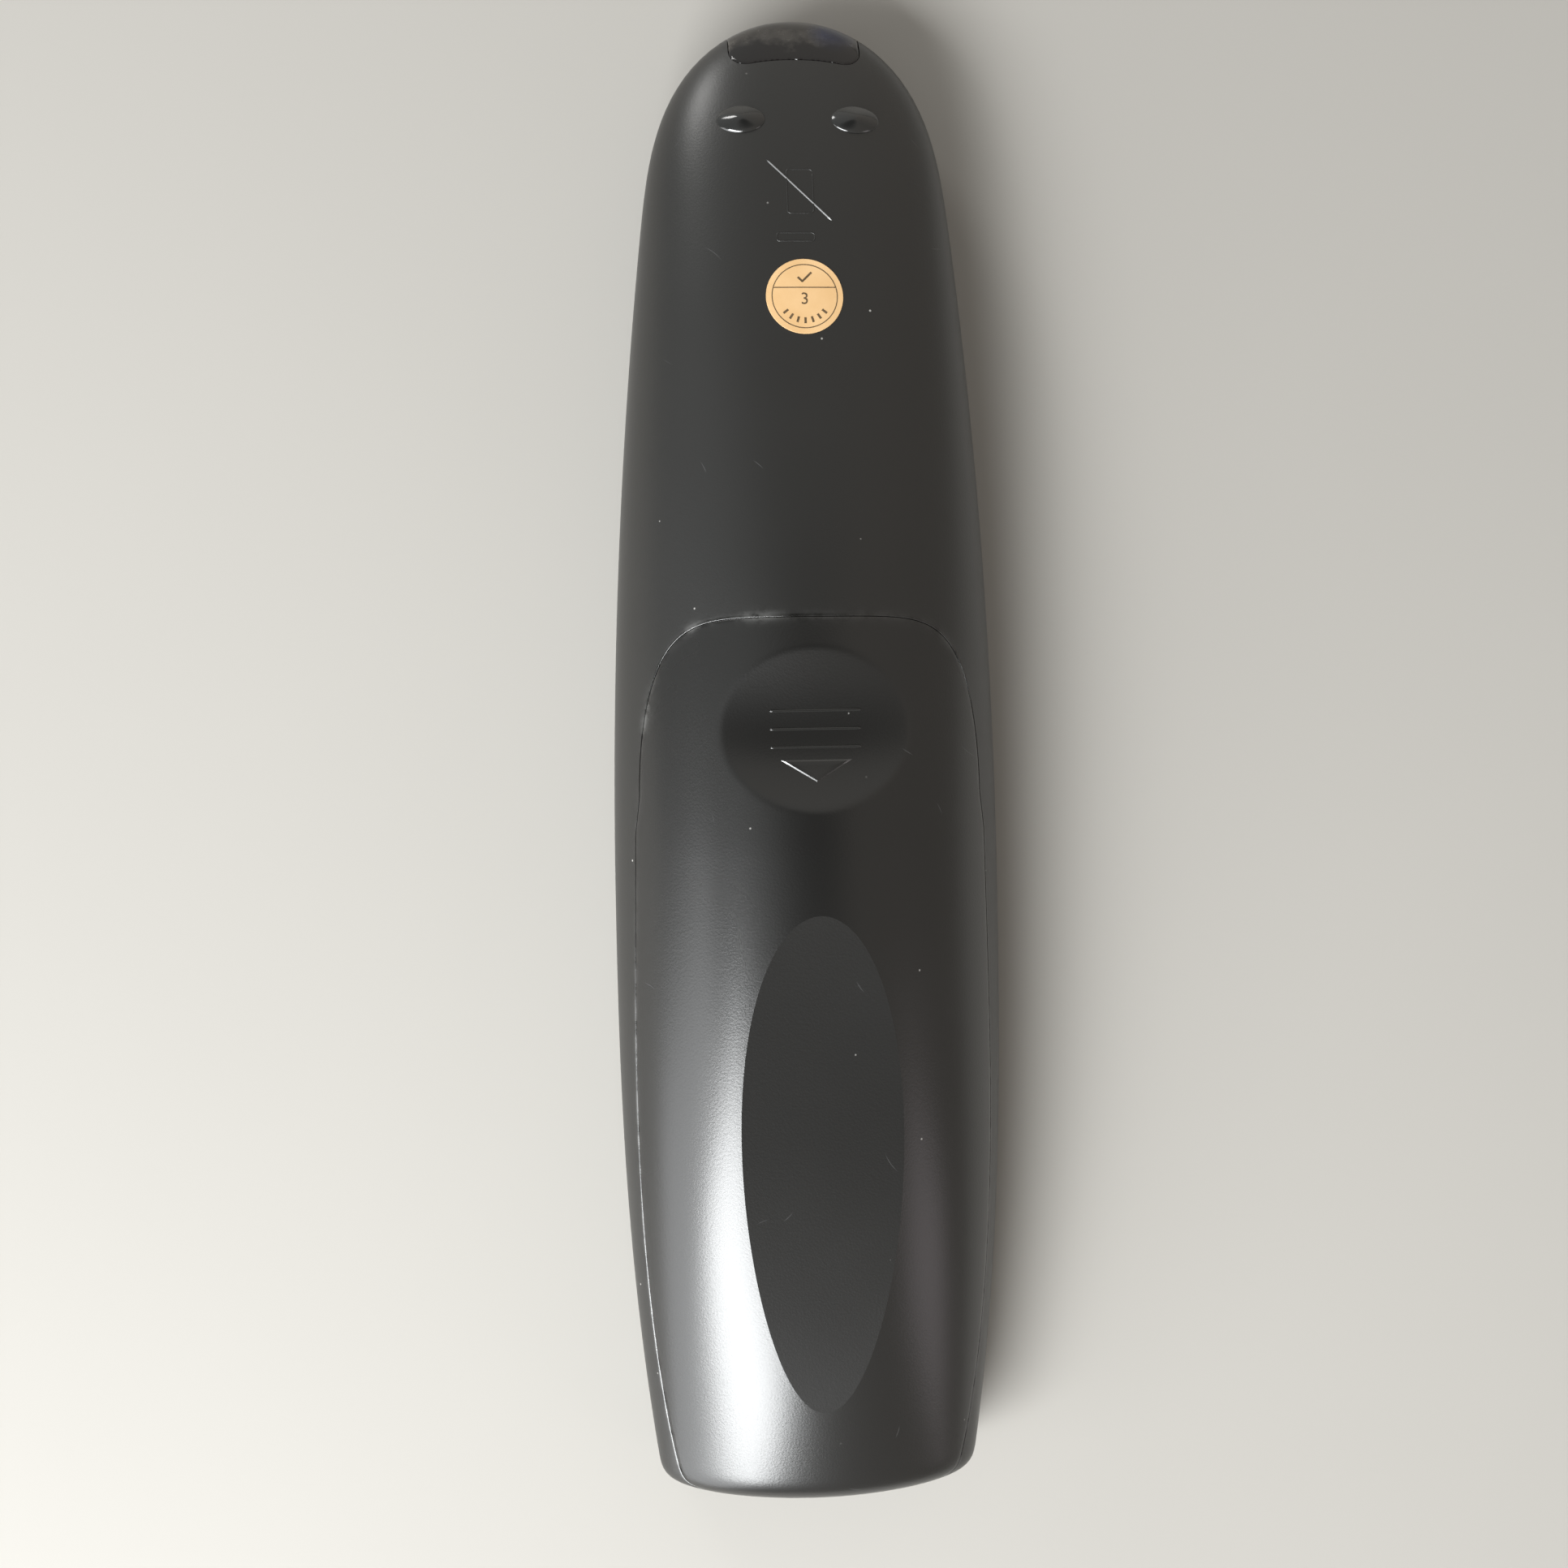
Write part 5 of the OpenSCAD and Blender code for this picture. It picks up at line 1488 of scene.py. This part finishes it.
def makeSticker():
    a = np.linspace(0, 2 * math.pi, 97)[:-1]
    r, t, soft, under = sticker["r"], sticker["t"], sticker["soft"], sticker["under"]
    levels = [(r * k, t) for k in (0.0, 0.2, 0.4, 0.6, 0.8, 0.93)]
    levels += [(r - soft, t), (r, t - soft), (r, under), (r * 0.5, under), (0.0, under)]
    rings = [onBack(s * np.cos(a), sticker["y"] + s * np.sin(a), lift) for s, lift in levels]
    obj = makeObject("inspection_sticker_disc", *meshFromRings(rings))
    shadeSmooth(obj, 40)
    paint(obj, paperGold())
    width, ring, chord = sticker["lineW"], sticker["ring"], sticker["chord"]
    reach = math.sqrt(ring ** 2 - chord ** 2)
    lines = [([(ring * math.cos(k), ring * math.sin(k)) for k in
               np.linspace(start, start + math.pi, 60)], width) for start in (0.0, math.pi)]
    lines.append(([(k, chord) for k in np.linspace(-reach, reach, 30)], width))
    for k in range(-3, 4):  # short strokes round the lower edge
        turn = math.radians(-90 + sticker["strokeTurn"] * k)
        lines.append(([(s * math.cos(turn), s * math.sin(turn)) for s in
                       np.linspace(*sticker["strokes"], 4)], sticker["strokeW"]))
    for (x0, y0), (x1, y1) in sticker["tick"]:
        lines.append(([(x0 + (x1 - x0) * k, y0 + (y1 - y0) * k) for k in (0, 0.33, 0.67, 1)],
                      sticker["tickW"]))
    lift = t - sticker["inkSink"]

    def place(x, y, k):
        return onBack([x], [y + sticker["y"] + sticker["numberY"]], lift + sticker["ink"] * k)[0]

    prints = [printedLine(points, wide, lift) for points, wide in lines]
    prints.append(figure("print_number", sticker["number"], sticker["numberSize"], place))
    return joinInto(obj, [paint(piece, printInk) for piece in prints])


settle(makeSticker(), "case", "inspection_sticker", "label_paper")
print("sticker done")


# cells: a jacket with a band, steel ends and a rounded shoulder
cell = {"r": 7.25, "length": 49.3, "tip": 50.5, "tipR": 2.75, "z": 13.55, "bandY": -0.008,
        "band": (0.50, 0.22, 0.075), "dark": ((0.018, 0.019, 0.022), (0.026, 0.027, 0.03)),
        "cloud": 500.0, "rough": (0.22, 0.32), "sides": 64}


def lathe(name, profile, count, place):
    a = np.linspace(0, 2 * math.pi, count + 1)[:-1]
    rings = [np.array([place(r * math.cos(t), r * math.sin(t), h) for t in a]) for r, h in profile]
    return makeObject(name, *meshFromRings(rings))


def makeCell(node, material):
    low, high = boxOf(node)
    x = (low[0] + high[0]) / 2
    start, sign = (low[1], 1) if x < 0 else (high[1], -1)  # the left tip is toward the nose
    r, length, tip, tipR = cell["r"], cell["length"], cell["tip"], cell["tipR"]

    def place(u, v, h):
        return x + u, start + sign * h, cell["z"] + v

    jacket = [(r - 1.1, 0.25), (r - 0.35, 0.12), (r - 0.08, 0.3), (r, 0.7), (r, 15), (r, 30),
              (r, length - 0.9), (r - 0.08, length - 0.4), (r - 0.35, length - 0.12),
              (r - 1.1, length - 0.15), (r - 1.3, length - 0.5), (r - 1.3, 0.5), (r - 1.1, 0.25)]
    ends = [(0.0, 0.02), (r - 2.0, 0.0), (r - 1.6, 0.25), (r - 1.0, 0.35), (r - 1.0, length - 0.45),
            (tipR + 1.2, length - 0.3), (tipR + 0.9, length - 0.02), (tipR, length),
            (tipR, tip - 0.25), (tipR - 0.25, tip), (0.0, tip)]
    obj = paint(lathe(node + "_jacket", jacket, cell["sides"], place), material)
    metal = paint(lathe("ends", ends, cell["sides"], place), contactSteel)
    shadeSmooth(obj, 40)
    shadeSmooth(metal, 40)
    settle(joinInto(obj, [metal]), "case", node, "cell_jacket")


def cellJacket():
    material, tree = newMaterial("cellJacket")
    coords = objectCoords(tree)
    band = maths(tree, "GREATER_THAN", splitAxes(tree, coords)["Y"], cell["bandY"])
    cloud = noise(tree, coords, cell["cloud"], 3.0)
    dark = mixColour(tree, cloud, *cell["dark"])
    fillShader(tree, {"Base Color": mixColour(tree, band, dark, cell["band"]),
                      "Roughness": roughBetween(tree, cloud, *cell["rough"])})
    return material


jacketMaterial = cellJacket()
for name in ("battery_left", "battery_right"):
    makeCell(name, jacketMaterial)


# contact springs: x, y and the way each one points
spring = {"turns": 3.0, "wide": 4.2, "narrow": 2.8, "wire": 0.39, "rise": 4.64, "start": 0.43,
          "nodes": {"negative_spring": (7.6, 5.6, -1), "bridge_spring": (-7.6, -51.0, 1)}}
for name, (x, y, sign) in spring["nodes"].items():
    coil = runTree(name + "_wire", springTree, [], [], Turns=spring["turns"],
                   Wide=spring["wide"] * mm, Narrow=spring["narrow"] * mm, Rise=spring["rise"] * mm,
                   Wire=spring["wire"] * mm, Material=contactSteel)
    for v in coil.data.vertices:
        u, w, h = v.co / mm
        v.co = Vector((x + sign * u, y + sign * (spring["start"] + h), cell["z"] + w)) * mm
    settle(coil, "case", name, "contact_steel")


# screws with a domed head, a cross recess and a ringed shank
def makeScrew(length):
    headR, headH, r, pitch = screws["headR"], screws["headH"], screws["r"], screws["pitch"]
    profile = [(0.0, headH)]
    profile += [(headR * math.sin(t), headH * (0.45 + 0.55 * math.cos(t)))
                for t in np.linspace(0.15, math.pi / 2, 8)]
    profile += [(headR, 0.1), (headR - 0.1, 0.0)]
    profile += [(r - (0.0 if k % 2 else screws["thread"]), -0.1 - k * pitch)
                for k in range(int((length - 0.6) / pitch))]
    profile += [(0.3, -length), (0.0, -length)]
    obj = lathe("screw", profile, 40, lambda u, v, h: (u, v, h))
    a, b = screws["cross"]
    for wide, tall in ((a, b), (b, a)):
        cutWith(obj, prism("slot", rectPlan(-wide, -tall, wide, tall), headH * 0.5, 3.0))
    shadeSmooth(obj)
    return obj


def placeScrews(node, spots, z, length):
    piece = makeScrew(length)
    obj = runTree(node + "_set", scatterTree, [(x, y, z) for x, y in spots], [], Piece=piece,
                  Material=screwSteel)
    bpy.data.objects.remove(piece)
    shadeSmooth(obj)
    settle(obj, "case", node, "screw_steel")


placeScrews("case_screws", screws["case"], bay["deck"][1], screws["caseLength"])
placeScrews("board_screws", screws["board"], screws["boardZ"], screws["boardLength"])
print("cells, springs and screws done")


# pieces that keep their solids get their materials
led = {"haze": 800.0, "tones": ((0.62, 0.60, 0.72), (0.7, 0.68, 0.78)), "rough": (0.05, 0.12),
       "through": 0.7}


def ledClear():
    material, tree = newMaterial("ledClear")
    haze = noise(tree, objectCoords(tree), led["haze"], 3.0)
    fillShader(tree, {"Base Color": mixColour(tree, haze, *led["tones"]),
                      "Roughness": roughBetween(tree, haze, *led["rough"]),
                      "Transmission Weight": led["through"]})
    return material


carried = {"keypad_mat": matGrey, "circuit_board": boardGreen, "contact_pads": carbonBlack,
           "ir_led": ledClear(), "led_driver": chipBlack, "control_chip": chipBlack,
           "resonator": ceramicOrange, "capacitor": canBlue, "positive_plate": contactSteel,
           "negative_plate": contactSteel, "bridge_plate": contactSteel}
for name, material in carried.items():
    paint(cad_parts[name], material)
print("carried pieces dressed:", len(carried))


# floor, seen from above only
floor = {"size": 2.4, "colour": (0.43, 0.415, 0.388), "cloud": 9.0, "paler": 1.06, "rough": 0.6,
         "gloss": 0.2, "clearWithin": 0.004}


def makeFloor():
    half = floor["size"] / 2
    mesh = bpy.data.meshes.new("floor")
    mesh.from_pydata([(x, y, 0) for x, y in rectPlan(-half, -half, half, half)], [], [(0, 1, 2, 3)])
    obj = addObject("floor", mesh)
    material, tree = newMaterial("paleTable")
    cloud = noise(tree, objectCoords(tree), floor["cloud"], 3.0)
    paler = tuple(c * floor["paler"] for c in floor["colour"])
    fillShader(tree, {"Base Color": mixColour(tree, cloud, floor["colour"], paler),
                      "Roughness": floor["rough"], "Specular IOR Level": floor["gloss"]})
    clear = addNode(tree, "ShaderNodeBsdfTransparent")
    path = addNode(tree, "ShaderNodeLightPath")
    below = addNode(tree, "ShaderNodeNewGeometry").outputs["Backfacing"]
    close = maths(tree, "LESS_THAN", path.outputs["Ray Length"], floor["clearWithin"])
    hidden = maths(tree, "MAXIMUM", below, close)
    mix = addNode(tree, "ShaderNodeMixShader",
                  {0: hidden, 1: tree.nodes["Principled BSDF"].outputs[0], 2: clear.outputs[0]})
    feed(tree, tree.nodes["Material Output"].inputs["Surface"], mix.outputs[0])
    paint(obj, material)


makeFloor()
